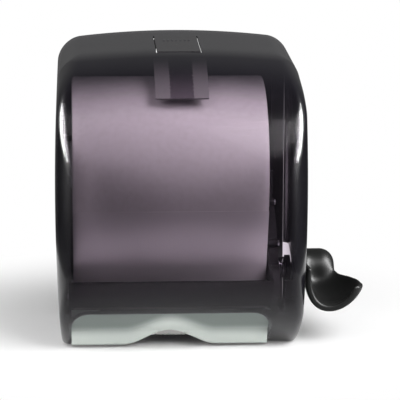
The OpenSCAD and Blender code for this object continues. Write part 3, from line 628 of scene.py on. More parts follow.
@dataclass(frozen=True)
class RollFinish(Finish):
    """The roll: paper with fine rings on its ends, where the layers show.

    Args:
        centre: Y and Z of the roll's middle, in metres.
        rings: Rings per metre.
        drift: How much they waver.
    """

    centre: tuple[float, float] = (-0.101, 0.028)
    rings: float = 190.0
    drift: float = 1.5

    def decorate(self, tree: Tree, colour: Socket) -> Socket:
        """Darkens the colour in fine rings about the roll's middle.

        Args:
            tree: Nodes of the material.
            colour: Colour so far.

        Returns:
            The colour with the rings.
        """
        nodes, links = tree.nodes, tree.links
        coords, place, wave = (nodes.new(t) for t in (
            "ShaderNodeTexCoord", "ShaderNodeMapping", "ShaderNodeTexWave"))
        place.inputs["Location"].default_value = (0.0, -self.centre[0], -self.centre[1])
        wave.wave_type, wave.rings_direction = "RINGS", "X"
        wave.inputs["Scale"].default_value = self.rings
        wave.inputs["Distortion"].default_value = self.drift
        links.new(coords.outputs["Object"], place.inputs["Vector"])
        links.new(place.outputs[0], wave.inputs["Vector"])
        return self.mix(tree, "MULTIPLY", wave.outputs["Fac"], colour, PAPER_WHITE)


@dataclass(frozen=True)
class CloudyPaintedShadeFinish(Finish):
    """Cloudy plastic with painted shade and light: painted dark where it lies recessed in shade under the
    mouth, with the black guide behind it, and painted light along its free lip, which catches the light.
    """

    # painted shade: the colour of the recessed, shaded part of the chute above its lip
    deep: Colour = (0.125, 0.15, 0.14)

    def decorate(self, tree: Tree, colour: Socket) -> Socket:
        """Mixes in the painted shade colour away from the lip, by the mesh's own attribute.

        Args:
            tree: Nodes of the material.
            colour: Colour so far.

        Returns:
            The mixed colour.
        """
        lip = tree.nodes.new("ShaderNodeAttribute")
        lip.attribute_name = "lip"
        return self.mix(tree, "MIX", lip.outputs["Fac"], self.deep, colour)


@dataclass(frozen=True)
class BrushedFinish(Finish):
    """Metal drawn along X, with long fine lines.

    Args:
        pull: Frequency of the lines along X, Y and Z, per metre.
    """

    pull: Point = (20.0, 1800.0, 1800.0)

    def height(self, tree: Tree, grain: Socket) -> Socket:
        """Stretches noise along X for the drawn lines.

        Args:
            tree: Nodes of the material.
            grain: Height of the grain.

        Returns:
            The height of the lines.
        """
        nodes, links = tree.nodes, tree.links
        coords, place, lines = (nodes.new(t) for t in (
            "ShaderNodeTexCoord", "ShaderNodeMapping", "ShaderNodeTexNoise"))
        place.inputs["Scale"].default_value = self.pull
        lines.inputs["Scale"].default_value = 1.0
        links.new(coords.outputs["Object"], place.inputs["Vector"])
        links.new(place.outputs[0], lines.inputs["Vector"])
        return lines.outputs["Fac"]


SMOKE = SmokeFinish("smoke_shell", (0.0065, 0.006, 0.0085), rough=0.22, grain=260.0, relief=0.000004,
                    mottle=0.1, worn=0.004, dust=0.008)
SMOKE_TAB = SmokeFinish("smoke_tab_shell", (0.014, 0.013, 0.015), rough=0.2, grain=500.0, relief=0.000006,
                        mottle=0.1, worn=0.01, dust=0.01, straight=0.8, coat=0.0)
# painted shade: a dark, nearly opaque finish for the cut faces of the tab's slit, so that the slit reads as a
# dark line
SMOKE_SLIT_SHADE = SmokeFinish("smoke_cut_edge", (0.012, 0.012, 0.014), rough=0.3, grain=500.0, relief=0.000006,
                        mottle=0.1, worn=0.01, dust=0.0, straight=0.85, coat=0.0)
SMOKE_RIM = SmokeFinish("smoke_rim", (0.06, 0.063, 0.066), rough=0.16, grain=500.0, relief=0.000006,
                        mottle=0.1, worn=0.05, dust=0.0, straight=0.4, slant=0.7)
HOUSING = Finish("housing_black", (0.016, 0.016, 0.018), rough=0.48, grain=1300.0, relief=0.00005, worn=0.05)
BRACKET = Finish("bracket_dark", (0.19, 0.17, 0.185), rough=0.45, grain=1300.0, relief=0.00004, worn=0.02,
                 dust=0.0)
GUARD = Finish("guard_black", (0.012, 0.012, 0.014), rough=0.4, grain=1300.0, relief=0.00004, worn=0.03)
LEVER = Finish("lever_satin", (0.006, 0.0062, 0.006), rough=0.42, grain=1500.0, relief=0.00002, mottle=0.1,
               worn=0.006, dust=0.0, ior=1.28)
# the chute's grey, painted in shade above the lip and painted light along it, by the panel's lip attribute
CHUTE = CloudyPaintedShadeFinish("chute_grey", (0.56, 0.60, 0.57), rough=0.42, grain=900.0, relief=0.00002, mottle=0.05,
               worn=0.05, dust=0.0, coat=0.25, glow=0.25)
WHITE_PLASTIC = Finish("white_moulding", (0.70, 0.70, 0.67), rough=0.4, grain=900.0, relief=0.00002,
                       mottle=0.06, worn=0.03)
HUB_PLASTIC = Finish("hub_grey", (0.42, 0.46, 0.44), rough=0.4, grain=900.0, relief=0.00002, mottle=0.06)
RUBBER = Finish("grip_rubber", (0.018, 0.018, 0.019), rough=0.75, grain=700.0, relief=0.00008, mottle=0.2)
GREY_RUBBER = Finish("pinch_grey", (0.30, 0.30, 0.29), rough=0.65, grain=700.0, relief=0.00006, mottle=0.15)
STEEL = BrushedFinish("drawn_steel", (0.58, 0.59, 0.61), rough=0.28, metal=1.0, relief=0.00001, mottle=0.08,
                      worn=0.05, dust=0.0)
SPRING = BrushedFinish("spring_wire", (0.52, 0.53, 0.55), rough=0.25, metal=1.0, relief=0.00001, mottle=0.08,
                       worn=0.05, dust=0.0)
PAPER = PaperFinish("towel_sheet", PAPER_WHITE, rough=0.9, grain=1400.0, relief=0.00012, mottle=0.03,
                    worn=0.0, dust=0.0)
ROLL = RollFinish("towel_roll", PAPER_WHITE, rough=0.92, grain=1200.0, relief=0.0001, mottle=0.03,
                  worn=0.0, dust=0.0)
BOARD = Finish("core_board", (0.36, 0.27, 0.17), rough=0.85, grain=600.0, relief=0.0001, mottle=0.15)

NODE_FINISHES: dict[str, Finish] = {
    "latch_tab": SMOKE_TAB, "latch_bracket": BRACKET, "latch_pin": STEEL, "latch_keeper": HOUSING,
    "back_housing": HOUSING, "hinge_pins": STEEL, "arm_pins": STEEL, "left_frame": HOUSING,
    "right_frame": HOUSING, "gearbox_cover": HOUSING, "frame_screws": STEEL, "gearbox_screws": STEEL,
    "roller_guard": GUARD, "web_guide": HOUSING, "tear_bar": STEEL, "tear_bar_screws": STEEL,
    "feed_bushes": WHITE_PLASTIC, "lever_bushes": WHITE_PLASTIC, "pinch_blocks": WHITE_PLASTIC,
    "pinch_springs": STEEL, "lever_stop": RUBBER, "feed_shaft": STEEL, "feed_grips": RUBBER,
    "drive_pinion": WHITE_PLASTIC, "clutch_drum": WHITE_PLASTIC, "pinch_shaft": STEEL,
    "pinch_rollers": GREY_RUBBER, "roll_core": BOARD, "left_arm": HOUSING, "left_hub": HUB_PLASTIC,
    "right_arm": HOUSING, "right_hub": HUB_PLASTIC, "lever_shaft": STEEL, "sector_gear": WHITE_PLASTIC,
    "spring_collar": HOUSING, "lever_screw": STEEL, "front_cover": SMOKE, "paper_chute": CHUTE,
    "paper_web": PAPER, "paper_roll": ROLL, "lever": LEVER, "lever_spring": SPRING,
}


def dress(obj: Object, finish: Finish) -> Object:
    """Gives every slot of the object the finish and returns the object."""
    mat = finish.make()
    if not obj.material_slots:
        obj.data.materials.append(mat)
    for s in obj.material_slots:
        s.material = mat
    return obj


def place(obj: Object, body: Body, slot: Slot, finish: Finish, *nodes: str) -> Object:
    """Dresses a new piece and ties it to the frame.

    Args:
        obj: The piece.
        body: The body that it rides on.
        slot: Not used.
        finish: Its finish.
        nodes: The CAD nodes that it stands for.

    Returns:
        The piece.
    """
    dress(obj, finish)
    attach(obj, body.value)
    if nodes:
        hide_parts(*nodes)
    log.info("%s rides on %s", obj.name, body.value)
    return obj


# ---------------------------------------------------------------- cover

@dataclass
class SmokeCover:
    """The see-through hood, its rolled rim and the grip bars on its tab. Sizes in millimetres.

    Args:
        height: Height of the rear edge above the foot.
        depth: From the rear to the front.
        wall: Thickness.
        rear_gap: Gap between the rear edge and the wall.
        rear_lip: Half the width between the thickened rear edges.
        crease: Y and Z of the line where the top meets the front.
        shoulder: Y, Z and radius of the front's upper arc.
        belly: Y, Z and radius of its lower arc.
        side_bow: Radius that the sides bulge by.
        half_w: Half the greatest width.
        mid_z: Height of the greatest width.
        crown: Radius of the top across the width.
        bow: Radius of the front across the width.
        corner: Radius of the upright corners.
        corner_set: How far the corner's middle lies back of its radius.
        corner_lean: How the front falls away towards the corner.
        crease_round: Radius along the crease.
        fade_back: How the front's arc runs out behind its middle.
        edge_round: Radius where front or top meet the sides, and what is added at the top.
        top_rise: Heights between which the added radius grows.
        top_run: Y between which it grows.
        mouth: Left, right, top and corner radius of the mouth.
        hinge: Y and Z of the hinge.
        notch: Radius about the hinge and half the width of the lever's notch.
        lever: Y and Z of the lever's shaft.
        tab: Half the width, rear Y and front Y of the tab's slot.
        bead: Radius of the mouth's rim.
        bar: Half the width and depth of a grip bar.
        rows: Rows of points.
        cols: Points in a row.
    """

    height: float = 324.0
    depth: float = 216.0
    wall: float = 2.5
    rear_gap: float = 1.0
    rear_lip: float = 123.85
    crease: tuple[float, float] = (-118.0, 312.0)
    shoulder: Point = (-74.17, 177.11, 141.83)
    belly: Point = (-80.39, 130.0, 135.61)
    side_bow: float = 2270.0
    half_w: float = 132.0
    mid_z: float = 162.0
    crown: float = 1000.0
    bow: float = 1000.0
    corner: float = 46.0
    corner_set: float = 3.7
    corner_lean: float = 0.12
    crease_round: float = 3.0
    fade_back: float = 0.25
    edge_round: tuple[float, float] = (9.0, 15.0)
    top_rise: tuple[float, float] = (215.0, 290.0)
    top_run: tuple[float, float] = (-185.0, -110.0)
    mouth: tuple[float, float, float, float] = (-117.5, 93.5, 46.0, 20.0)
    hinge: tuple[float, float] = (-14.0, 12.0)
    notch: tuple[float, float] = (63.2, 9.0)
    lever: tuple[float, float] = (-50.0, 64.0)
    tab: Point = (24.2, -33.5, -116.7)
    bead: float = 1.9
    bar: tuple[float, float] = (1.1, 1.8)
    rows: int = 132
    cols: int = 210

    def side_x(self, z: np.ndarray) -> np.ndarray:
        """Returns half the width of the cover at the height z."""
        return self.half_w - self.side_bow + np.sqrt(self.side_bow ** 2 - (self.mid_z - z) ** 2)

    def top_slope(self) -> float:
        """Returns how much the top falls towards the front."""
        return (self.height - self.crease[1]) / -self.crease[0]

    def distance(self, x: np.ndarray, y: np.ndarray, z: np.ndarray) -> np.ndarray:
        """Distance to the outer surface.

        Args:
            x: X in mm.
            y: Y in mm.
            z: Height above the foot in mm.

        Returns:
            The distance, negative inside.
        """
        yy, zz = y - x * x / (2 * self.bow), z + x * x / (2 * self.crown)
        slope = self.top_slope()
        top = (zz - self.height - slope * yy) / math.hypot(1, slope)
        sy, sz, sr = self.shoulder
        by, bz, br = self.belly
        high = np.hypot(np.minimum(yy - sy, 0), zz - sz) - sr - self.fade_back * np.maximum(yy - sy, 0)
        low = np.hypot(np.minimum(yy - by, 0), zz - bz) - br
        front = np.where(zz > sz, high, np.where(zz < bz, low, -yy - self.depth))
        c = self.corner
        qx = np.abs(x) - (self.side_x(z) - c)
        qy = -(y + self.depth - c - self.corner_set)
        ahead = np.where(qx > 0, np.hypot(qx, qy) - c, qy - c + self.corner_lean * qx)
        side = np.where(qy > 0, ahead, qx - c)
        near_top = smoothstep(*self.top_rise, z) * smoothstep(*self.top_run, y)
        edge = self.edge_round[0] + self.edge_round[1] * near_top
        return meet(meet(top, front, self.crease_round), side, edge)

    def skin(self, inset: float, angles: np.ndarray, ways: np.ndarray) -> np.ndarray:
        """Finds the surface on rays that fan out from the rear foot edge.

        Args:
            inset: Depth below the outer surface, in mm.
            angles: Angle of each half-plane about the edge, one a row.
            ways: Angle of each ray in its half-plane, rows by columns.

        Returns:
            The points, rows by columns by 3, in mm.
        """
        dx = np.sin(ways)
        dr = np.cos(ways)
        dy = -dr * np.cos(angles)[:, None]
        dz = dr * np.sin(angles)[:, None]
        farthest, halvings = 420.0, 40
        lo, hi = np.zeros_like(ways), np.full_like(ways, farthest)
        for _ in range(halvings):
            mid = (lo + hi) / 2
            out = self.distance(dx * mid, -self.rear_gap + dy * mid, dz * mid) > -inset
            lo, hi = np.where(out, lo, mid), np.where(out, mid, hi)
        return np.stack([dx * lo, -self.rear_gap + dy * lo, dz * lo], axis=-1)

    def rays(self, angles: np.ndarray) -> np.ndarray:
        """Spaces the rays of each row so that points crowd where the surface turns.

        Args:
            angles: Angle of each row.

        Returns:
            Ray angles, rows by columns.
        """
        tries, blur, pull = 2401, 41, 60.0
        dense = np.linspace(-math.pi / 2, math.pi / 2, tries)
        out = np.zeros((len(angles), self.cols))
        for i, a in enumerate(angles):
            p = self.skin(0.0, np.array([a]), dense[None, :])[0]
            step = np.diff(p, axis=0)
            length = np.linalg.norm(step, axis=1)
            way = step / np.maximum(length, 1e-9)[:, None]
            turn = np.r_[0, np.linalg.norm(np.diff(way, axis=0), axis=1)]
            turn = np.convolve(turn, np.ones(blur) / blur, "same")
            s = np.r_[0, np.cumsum(length + pull * turn)]
            out[i] = np.interp(np.linspace(0, s[-1], self.cols), s, dense)
        return out

    def smooth_rows(self, ways: np.ndarray) -> np.ndarray:
        """Evens out the ray angles between neighbouring rows and returns them."""
        passes = 6
        for _ in range(passes):
            inner = (ways[:-2] + 2 * ways[1:-1] + ways[2:]) / 4
            ways = np.vstack([ways[:1], inner, ways[-1:]])
        return ways

    def shell(self) -> Object:
        """Builds the closed hood before its openings are cut and returns it."""
        crease_angle = math.atan2(self.crease[1], -self.crease[0] - self.rear_gap)
        reach, clear, extra = 0.03, 0.034, 15
        even = np.linspace(0, math.pi / 2, self.rows)
        near = crease_angle + np.linspace(-reach, reach, extra)
        angles = np.unique(np.r_[even[np.abs(even - crease_angle) > clear], near])
        ways = self.smooth_rows(self.rays(angles))
        outer = self.skin(0.0, angles, ways)
        inner = self.skin(self.wall, angles, ways)
        lip_run, lip_side = (-15.0, -2.0), (100.0, 120.0)
        lip = smoothstep(*lip_run, inner[..., 1]) * smoothstep(*lip_side, np.abs(inner[..., 0]))
        kept = np.minimum(np.abs(inner[..., 0]), self.rear_lip)
        inner[..., 0] += lip * (np.sign(inner[..., 0]) * kept - inner[..., 0])
        rows, cols = len(angles), self.cols
        n = rows * cols
        verts = np.vstack([outer.reshape(-1, 3), inner.reshape(-1, 3)]) * MM - np.array([0, 0, FOOT])
        faces = grid_faces(rows, cols) + grid_faces(rows, cols, flip=True, start=n)
        for i in (0, (rows - 1) * cols):
            for j in range(cols - 1):
                q = (i + j, i + j + 1, n + i + j + 1, n + i + j)
                faces.append(q if i else q[::-1])
        return clean(new_object("cover_shell", verts, faces), 2e-6)

    def mouth_outline(self, grow: float = 0.0, steps: int = 12) -> list[tuple[float, float]]:
        """Outline of the mouth.

        Args:
            grow: How far the outline lies outside the mouth, in mm.
            steps: Steps round each corner.

        Returns:
            Points [x, z] in metres, from the left foot over the top to the right foot.
        """
        x0, x1, h, r = self.mouth
        below = -2.0
        pts = [(x0 - grow, below)]
        for cx, a0, a1 in ((x0 + r, 180, 90), (x1 - r, 90, 0)):
            for k in range(steps + 1):
                a = math.radians(a0 + (a1 - a0) * k / steps)
                pts.append((cx + (r + grow) * math.cos(a), h - r + (r + grow) * math.sin(a)))
        pts.append((x1 + grow, below))
        return [(x * MM, z * MM - FOOT) for x, z in pts]

    def arc(self, centre: tuple[float, float], radius: float, degrees: Sequence[float]) -> list:
        """Returns the points [y, z] in mm of an arc seen from the side."""
        y, z = centre
        turns = [math.radians(a) for a in degrees]
        return [(y + radius * math.cos(a), z + radius * math.sin(a)) for a in turns]

    def cutters(self) -> list[Object]:
        """Returns the solids of the mouth, the tab's slot, the lever's notch and the rear foot corner."""
        front_y, top_z = (-0.3, -0.06), (0.300 - FOOT, 0.34 - FOOT)
        side_x, all_x = (0.118, 0.14), (-0.15, 0.15)
        mouth = prism("cut_mouth", self.mouth_outline(), *front_y, 1)
        w, y0, y1 = (v * MM for v in self.tab)
        slot = prism("cut_tab", [(-w, y1), (w, y1), (w, y0), (-w, y0)], *top_z, 2)
        hy, hz = self.hinge
        r, half = self.notch
        rear_end, steps = 70, 24
        at_lever = math.degrees(math.atan2(self.lever[1] - hz, self.lever[0] - hy))
        pts = self.arc(self.hinge, r + half, np.linspace(rear_end, at_lever, steps))
        pts += self.arc(self.lever, half, [at_lever + 180 * k / 12 for k in range(1, 12)])
        pts += self.arc(self.hinge, r - half, np.linspace(at_lever, rear_end, steps))
        notch = prism("cut_notch", [(y * MM, z * MM - FOOT) for y, z in pts], *side_x, 0)
        past = 2.0
        corner = [(hy, -past), (past, -past), (past, hz), *self.arc((hy, hz), hz, np.linspace(0, -90, 13))]
        foot = prism("cut_foot", [(y * MM, z * MM - FOOT) for y, z in corner], *all_x, 0)
        return [mouth, slot, notch, foot]

    def rim(self) -> Object:
        """Rolls a bead round the mouth: a Geometry Nodes tube that follows the edge.

        Returns:
            The bead as a plain mesh.
        """
        outside, steps, sides, farthest_back, tries = 0.6, 10, 14, -90.0, 1261
        outline = [p for p in self.mouth_outline(outside, steps) if p[1] > -FOOT + 0.001]
        x0, x1 = outline[0][0], outline[-1][0]
        foot = [(x0, -FOOT + rise) for rise in (0.0021, 0.008, 0.015)]
        pts = []
        for x, z in foot + outline[1:-1] + [(x1, z) for _, z in reversed(foot)]:
            y = np.linspace(-self.depth, farthest_back, tries)
            d = self.distance(np.full_like(y, x / MM), y, np.full_like(y, (z + FOOT) / MM))
            pts.append((x, float(y[np.argmax(d < -self.wall / 2)]) * MM, z))
        return tube_on_curve(poly_line("mouth_rim", pts), self.bead * MM, sides, SMOKE_RIM)

    def grip_bars(self) -> Object:
        """Sets a row of small bars across the tab with Geometry Nodes and returns them as a mesh."""
        y, count, pitch = -58.0, 7, 4.5
        w, d = (v * MM for v in self.bar)
        bar = prism("bar_seed", [(-w, -d), (w, -d), (w, d), (-w, d)], -0.0004, 0.0006, 2)
        start = spot(-pitch * (count - 1) / 2, y, self.height + y * self.top_slope())
        return repeat_line("tab_grip_bars", round_edges(bar), start, (pitch * MM, 0, 0), count, SMOKE_RIM)

    def paint_slit_shade(self, shell: Object) -> None:
        """Paints shade into the tab's slit: gives the cut faces round the tab a darker, nearly opaque finish.

        Args:
            shell: The dressed hood.
        """
        shell.data.materials.append(SMOKE_SLIT_SHADE.make())
        w, y0, y1 = (v * MM for v in self.tab)
        play, above, steep = 0.001, 0.3 - FOOT, 0.5
        for face in shell.data.polygons:
            x, y, z = face.center
            near = abs(x) < w + play and y1 - play < y < y0 + play and z > above
            if near and abs(face.normal.z) < steep:
                face.material_index = 1

    def build(self) -> None:
        """Builds and places the cover's pieces."""
        shell = cut(self.shell(), self.cutters())
        place(smooth_by_angle(clean(shell, 1e-7), 40), Body.COVER, Slot.SMOKE, SMOKE, "front_cover")
        self.paint_slit_shade(shell)
        place(self.rim(), Body.COVER, Slot.SMOKE, SMOKE_RIM)
        place(self.grip_bars(), Body.LATCH, Slot.TAB, SMOKE_RIM)


# ---------------------------------------------------------------- Geometry Nodes

def run_nodes(obj: Object, tree: bpy.types.GeometryNodeTree,
              values: dict[str, object]) -> Object:
    """Runs a Geometry Nodes tree on an object and keeps the result as a mesh.

    Args:
        obj: The object that carries the tree.
        tree: The tree, with named inputs.
        values: Value of each input, by the socket's name.

    Returns:
        A new mesh object with the old one's name.
    """
    mod = obj.modifiers.new("nodes", "NODES")
    mod.node_group = tree
    ids = {s.name: s.identifier for s in tree.interface.items_tree if s.in_out == "INPUT"}
    for name, value in values.items():
        mod[ids[name]] = value
    mesh = evaluated_mesh(obj)
    name = obj.name
    obj.modifiers.clear()
    bpy.data.objects.remove(obj)
    out = bpy.data.objects.new(name, mesh)
    bpy.context.scene.collection.objects.link(out)
    mesh.polygons.foreach_set("use_smooth", [True] * len(mesh.polygons))
    return out


def tree_base(name: str, inputs: Sequence[tuple[str, str]]) -> tuple:
    """Starts a Geometry Nodes tree that ends in Realize Instances and Set Material.

    Args:
        name: Name of the tree.
        inputs: Name and socket type of each input after the geometry; a "Finish" is always added.

    Returns:
        The tree, its input node and the node that takes the finished geometry.
    """
    tree = bpy.data.node_groups.new(name, "GeometryNodeTree")
    tree.interface.new_socket("Geometry", in_out="INPUT", socket_type="NodeSocketGeometry")
    for label, kind in [*inputs, ("Finish", "Material")]:
        tree.interface.new_socket(label, in_out="INPUT", socket_type="NodeSocket" + kind)
    tree.interface.new_socket("Geometry", in_out="OUTPUT", socket_type="NodeSocketGeometry")
    gin, gout, real, mat = (tree.nodes.new(kind) for kind in (
        "NodeGroupInput", "NodeGroupOutput", "GeometryNodeRealizeInstances", "GeometryNodeSetMaterial"))
    tree.links.new(real.outputs[0], mat.inputs["Geometry"])
    tree.links.new(gin.outputs["Finish"], mat.inputs["Material"])
    tree.links.new(mat.outputs[0], gout.inputs[0])
    return tree, gin, real


def tube_on_curve(obj: Object, radius: float, sides: int, finish: Finish) -> Object:
    """Lays a closed tube on a curve.

    Args:
        obj: A curve object.
        radius: Radius of the tube in metres.
        sides: Sides of the tube.
        finish: Its finish.

    Returns:
        The tube as a mesh object.
    """
    tree, gin, real = tree_base("tube_" + obj.name, [("Radius", "Float"), ("Sides", "Int")])
    n, link = tree.nodes, tree.links.new
    circle, sweep = n.new("GeometryNodeCurvePrimitiveCircle"), n.new("GeometryNodeCurveToMesh")
    link(gin.outputs["Radius"], circle.inputs["Radius"])
    link(gin.outputs["Sides"], circle.inputs["Resolution"])
    link(gin.outputs["Geometry"], sweep.inputs["Curve"])
    link(circle.outputs["Curve"], sweep.inputs["Profile Curve"])
    sweep.inputs["Fill Caps"].default_value = True
    link(sweep.outputs["Mesh"], real.inputs[0])
    out = run_nodes(obj, tree, {"Radius": radius, "Sides": sides, "Finish": finish.make()})
    return smooth_by_angle(clean(out), 50)


def repeat_line(name: str, seed: Object, start: Sequence[float], step: Sequence[float], count: int,
                finish: Finish) -> Object:
    """Repeats a small solid along a line.

    Args:
        name: Name of the new piece.
        seed: The solid, at the origin; it is removed.
        start: Place of the first, in metres.
        step: From one to the next, in metres.
        count: How many.
        finish: Their finish.

    Returns:
        The row as one mesh object.
    """
    tree, gin, real = tree_base("row_" + name, [
        ("Start", "Vector"), ("Step", "Vector"), ("Count", "Int"), ("Seed", "Object")])
    n, link = tree.nodes, tree.links.new
    line, info = n.new("GeometryNodeMeshLine"), n.new("GeometryNodeObjectInfo")
    copies = n.new("GeometryNodeInstanceOnPoints")
    line.mode = "OFFSET"
    link(gin.outputs["Count"], line.inputs["Count"])
    link(gin.outputs["Start"], line.inputs["Start Location"])
    link(gin.outputs["Step"], line.inputs["Offset"])
    link(gin.outputs["Seed"], info.inputs["Object"])
    link(line.outputs["Mesh"], copies.inputs["Points"])
    link(info.outputs["Geometry"], copies.inputs["Instance"])
    link(copies.outputs[0], real.inputs[0])
    carrier = new_object(name, [(0, 0, 0)], [])
    out = run_nodes(carrier, tree, {"Start": tuple(start), "Step": tuple(step), "Count": count, "Seed": seed,
                                    "Finish": finish.make()})
    bpy.data.objects.remove(seed)
    return smooth_by_angle(out, 40)


# ---------------------------------------------------------------- roll and sheet

@dataclass
class TowelRoll:
    """The wound roll and the sheet that leaves it. Sizes in millimetres."""

    x0: float = -113.5
    x1: float = 89.5
    centre: tuple[float, float] = (-101.0, 190.0)
    radius: float = 94.0
    bore: float = 21.5
    nip: tuple[float, float] = (-150.0, 62.0)
    leave: tuple[float, float] = (-188.22, 153.62)
    end_z: float = 8.0
    sheet: float = 0.4

    def roll(self) -> Object:
        """Turns the roll: a profile with softly rounded and slightly uneven ends."""
        turns, seed, layers, unevenness = 160, 7, 26, 0.35
        ends = np.linspace(self.bore + 3, self.radius - 2.0, layers)
        wobble = np.random.default_rng(seed).uniform(0.0, unevenness, len(ends))
        left = [(0.0, self.bore), *zip(wobble, ends), (0.5, self.radius - 0.7), (1.6, self.radius)]
        prof = [(self.x0 + w, r) for w, r in left]
        prof += [(x, self.radius) for x in np.linspace(self.x0 + 8, self.x1 - 8, 8)]
        prof += [(self.x1 - w, r) for w, r in reversed(left)]
        cy, cz = self.centre
        verts = []
        for k in range(turns):
            a = 2 * math.pi * k / turns
            verts += [spot(x, cy + r * math.cos(a), cz + r * math.sin(a)) for x, r in prof]
        cols = len(prof)
        faces = []
        for i in range(turns):
            j = (i + 1) % turns
            faces += [(i * cols + k, j * cols + k, j * cols + (k + 1) % cols, i * cols + (k + 1) % cols)
                      for k in range(cols)]
        return smooth_by_angle(clean(new_object("wound_roll", verts, faces)), 35)

    def web(self) -> Object:
        """Builds the sheet with its own UV map, from the roll to a cut end with a fine sawtooth."""
        rows, cols, tooth = 40, 101, 1.6
        (ny, nz), (ly, lz) = self.nip, self.leave
        length = math.hypot(ly - ny, lz - nz)
        uy, uz = (ly - ny) / length, (lz - nz) / length
        low = (nz - self.end_z) / uz
        grids = []
        for side in (-0.5, 0.5):
            verts = []
            for i in range(rows):
                s = -low + (low + length) * i / (rows - 1)
                for j in range(cols):
                    x = self.x0 + (self.x1 - self.x0) * j / (cols - 1)
                    t, off = s + (tooth if i == 0 and j % 2 else 0.0), side * self.sheet
                    verts.append(spot(x, ny + t * uy + off * uz, nz + t * uz - off * uy))
            grids.append(verts)
        obj = clean(slab("towel_web", *grids, rows, cols))
        uv = obj.data.uv_layers.new(name="sheet")
        for loop in obj.data.loops:
            co = obj.data.vertices[loop.vertex_index].co
            uv.data[loop.index].uv = (co.x, (co.z * uz + co.y * uy))
        return smooth_by_angle(obj, 40)

    def build(self) -> None:
        """Builds and places the roll and the sheet."""
        place(self.roll(), Body.ROLL, Slot.PAPER, ROLL, "paper_roll")
        place(self.web(), Body.CASE, Slot.PAPER, PAPER, "paper_web")


# ---------------------------------------------------------------- chute

@dataclass
class Chute:
    """The light grey chute with its raised finger notch. Sizes in millimetres."""

    x0: float = -116.0
    x1: float = 92.0
    belly: tuple[float, float] = (-80.39, 130.0)
    radius: float = 132.31
    wall: float = 2.2
    top_z: float = 50.0
    lip_top: float = 20.0
    lip_foot: float = 3.0
    lip_back: float = 6.0
    notch_h: float = 17.0
    notch_w: float = 100.0
    proud: float = 0.7
    swell: float = 0.25
    round_z: float = 1.4
    # heights about the lip's top over which the painted light on the lip fades into the painted shade above
    painted_light_band: tuple[float, float] = (9.0, -8.0)
    cheek_t: float = 2.0
    cheek_inset: float = 1.1

    def wave(self, x: float) -> float:
        """Returns the rise of the lower edge at x."""
        d = x - MID_X / MM
        if abs(d) >= self.notch_w / 2:
            return 0.0
        return self.notch_h / 2 * (1 + math.cos(2 * math.pi * d / self.notch_w))

    def face_y(self, z: float) -> float:
        """Returns Y of the outer face at the height z."""
        cy, cz = self.belly
        if z >= self.lip_top:
            return cy - math.sqrt(self.radius ** 2 - (z - cz) ** 2)
        edge = self.face_y(self.lip_top)
        return edge + self.lip_back * (self.lip_top - z) / (self.lip_top - self.lip_foot)

    def panel(self) -> Object:
        """Builds the panel with its wavy lower edge, the lip band rounded along its top, and a lip attribute
        that paints light on the lip and shade above it.
        """
        cols, rows, soft = 121, 44, 0.9
        front, back, painted_lit_share = [], [], []
        for i in range(rows):
            t = i / (rows - 1)
            for j in range(cols):
                x = self.x0 + (self.x1 - self.x0) * j / (cols - 1)
                low, band = self.lip_foot + self.wave(x), self.lip_top + self.wave(x)
                z = low + (band - low) * t / 0.5 if t < 0.5 else band + (self.top_z - band) * (t - 0.5) / 0.5
                step = float(smoothstep(band + soft, band - soft, z)) if z > band - 1 else 1.0
                up = min(1.0, max(0.0, (z - low) / (band - low)))
                swell = self.swell * math.sin(math.pi * up) if z < band else 0.0
                edge = float(smoothstep(0.0, self.round_z, z - low))
                out = (self.proud + swell) * step * edge - self.proud * (1 - edge)
                y = self.face_y(z)
                front.append(spot(x, y - out, z))
                back.append(spot(x, y + self.wall, z if i else z + 0.3))
                # painted light and shade: 1 on the lit lip, 0 on the shaded panel above it
                painted_lit_share.append(float(smoothstep(band + self.painted_light_band[0], band + self.painted_light_band[1], z)))
        obj = slab("chute_panel", front, back, rows, cols)
        obj.data.attributes.new("lip", "FLOAT", "POINT").data.foreach_set("value", painted_lit_share + painted_lit_share)
        return smooth_by_angle(clean(obj), 40)

    def cheek(self, x: float, name: str) -> Object:
        """Builds the cheek whose inner end is at x and returns it with rounded edges."""
        zs = np.linspace(self.lip_foot + 1.0, 47.0, 14)
        rear = [(-136.55, 47.0), (-127.5, 8.5), (-129.0, 4.0)]
        pts = [spot(0, y, z)[1:] for y, z in [(self.face_y(z) + self.cheek_inset, z) for z in zs] + rear]
        return smooth_by_angle(round_edges(prism(name, pts, x * MM, (x + self.cheek_t) * MM, 0)), 40)

    def build(self) -> None:
        """Builds and places the chute."""
        place(self.panel(), Body.CASE, Slot.CHUTE, CHUTE, "paper_chute")
        place(self.cheek(self.x0, "chute_cheek_left"), Body.CASE, Slot.CHUTE, CHUTE)
        place(self.cheek(self.x1 - self.cheek_t, "chute_cheek_right"), Body.CASE, Slot.CHUTE, CHUTE)


# ---------------------------------------------------------------- lever

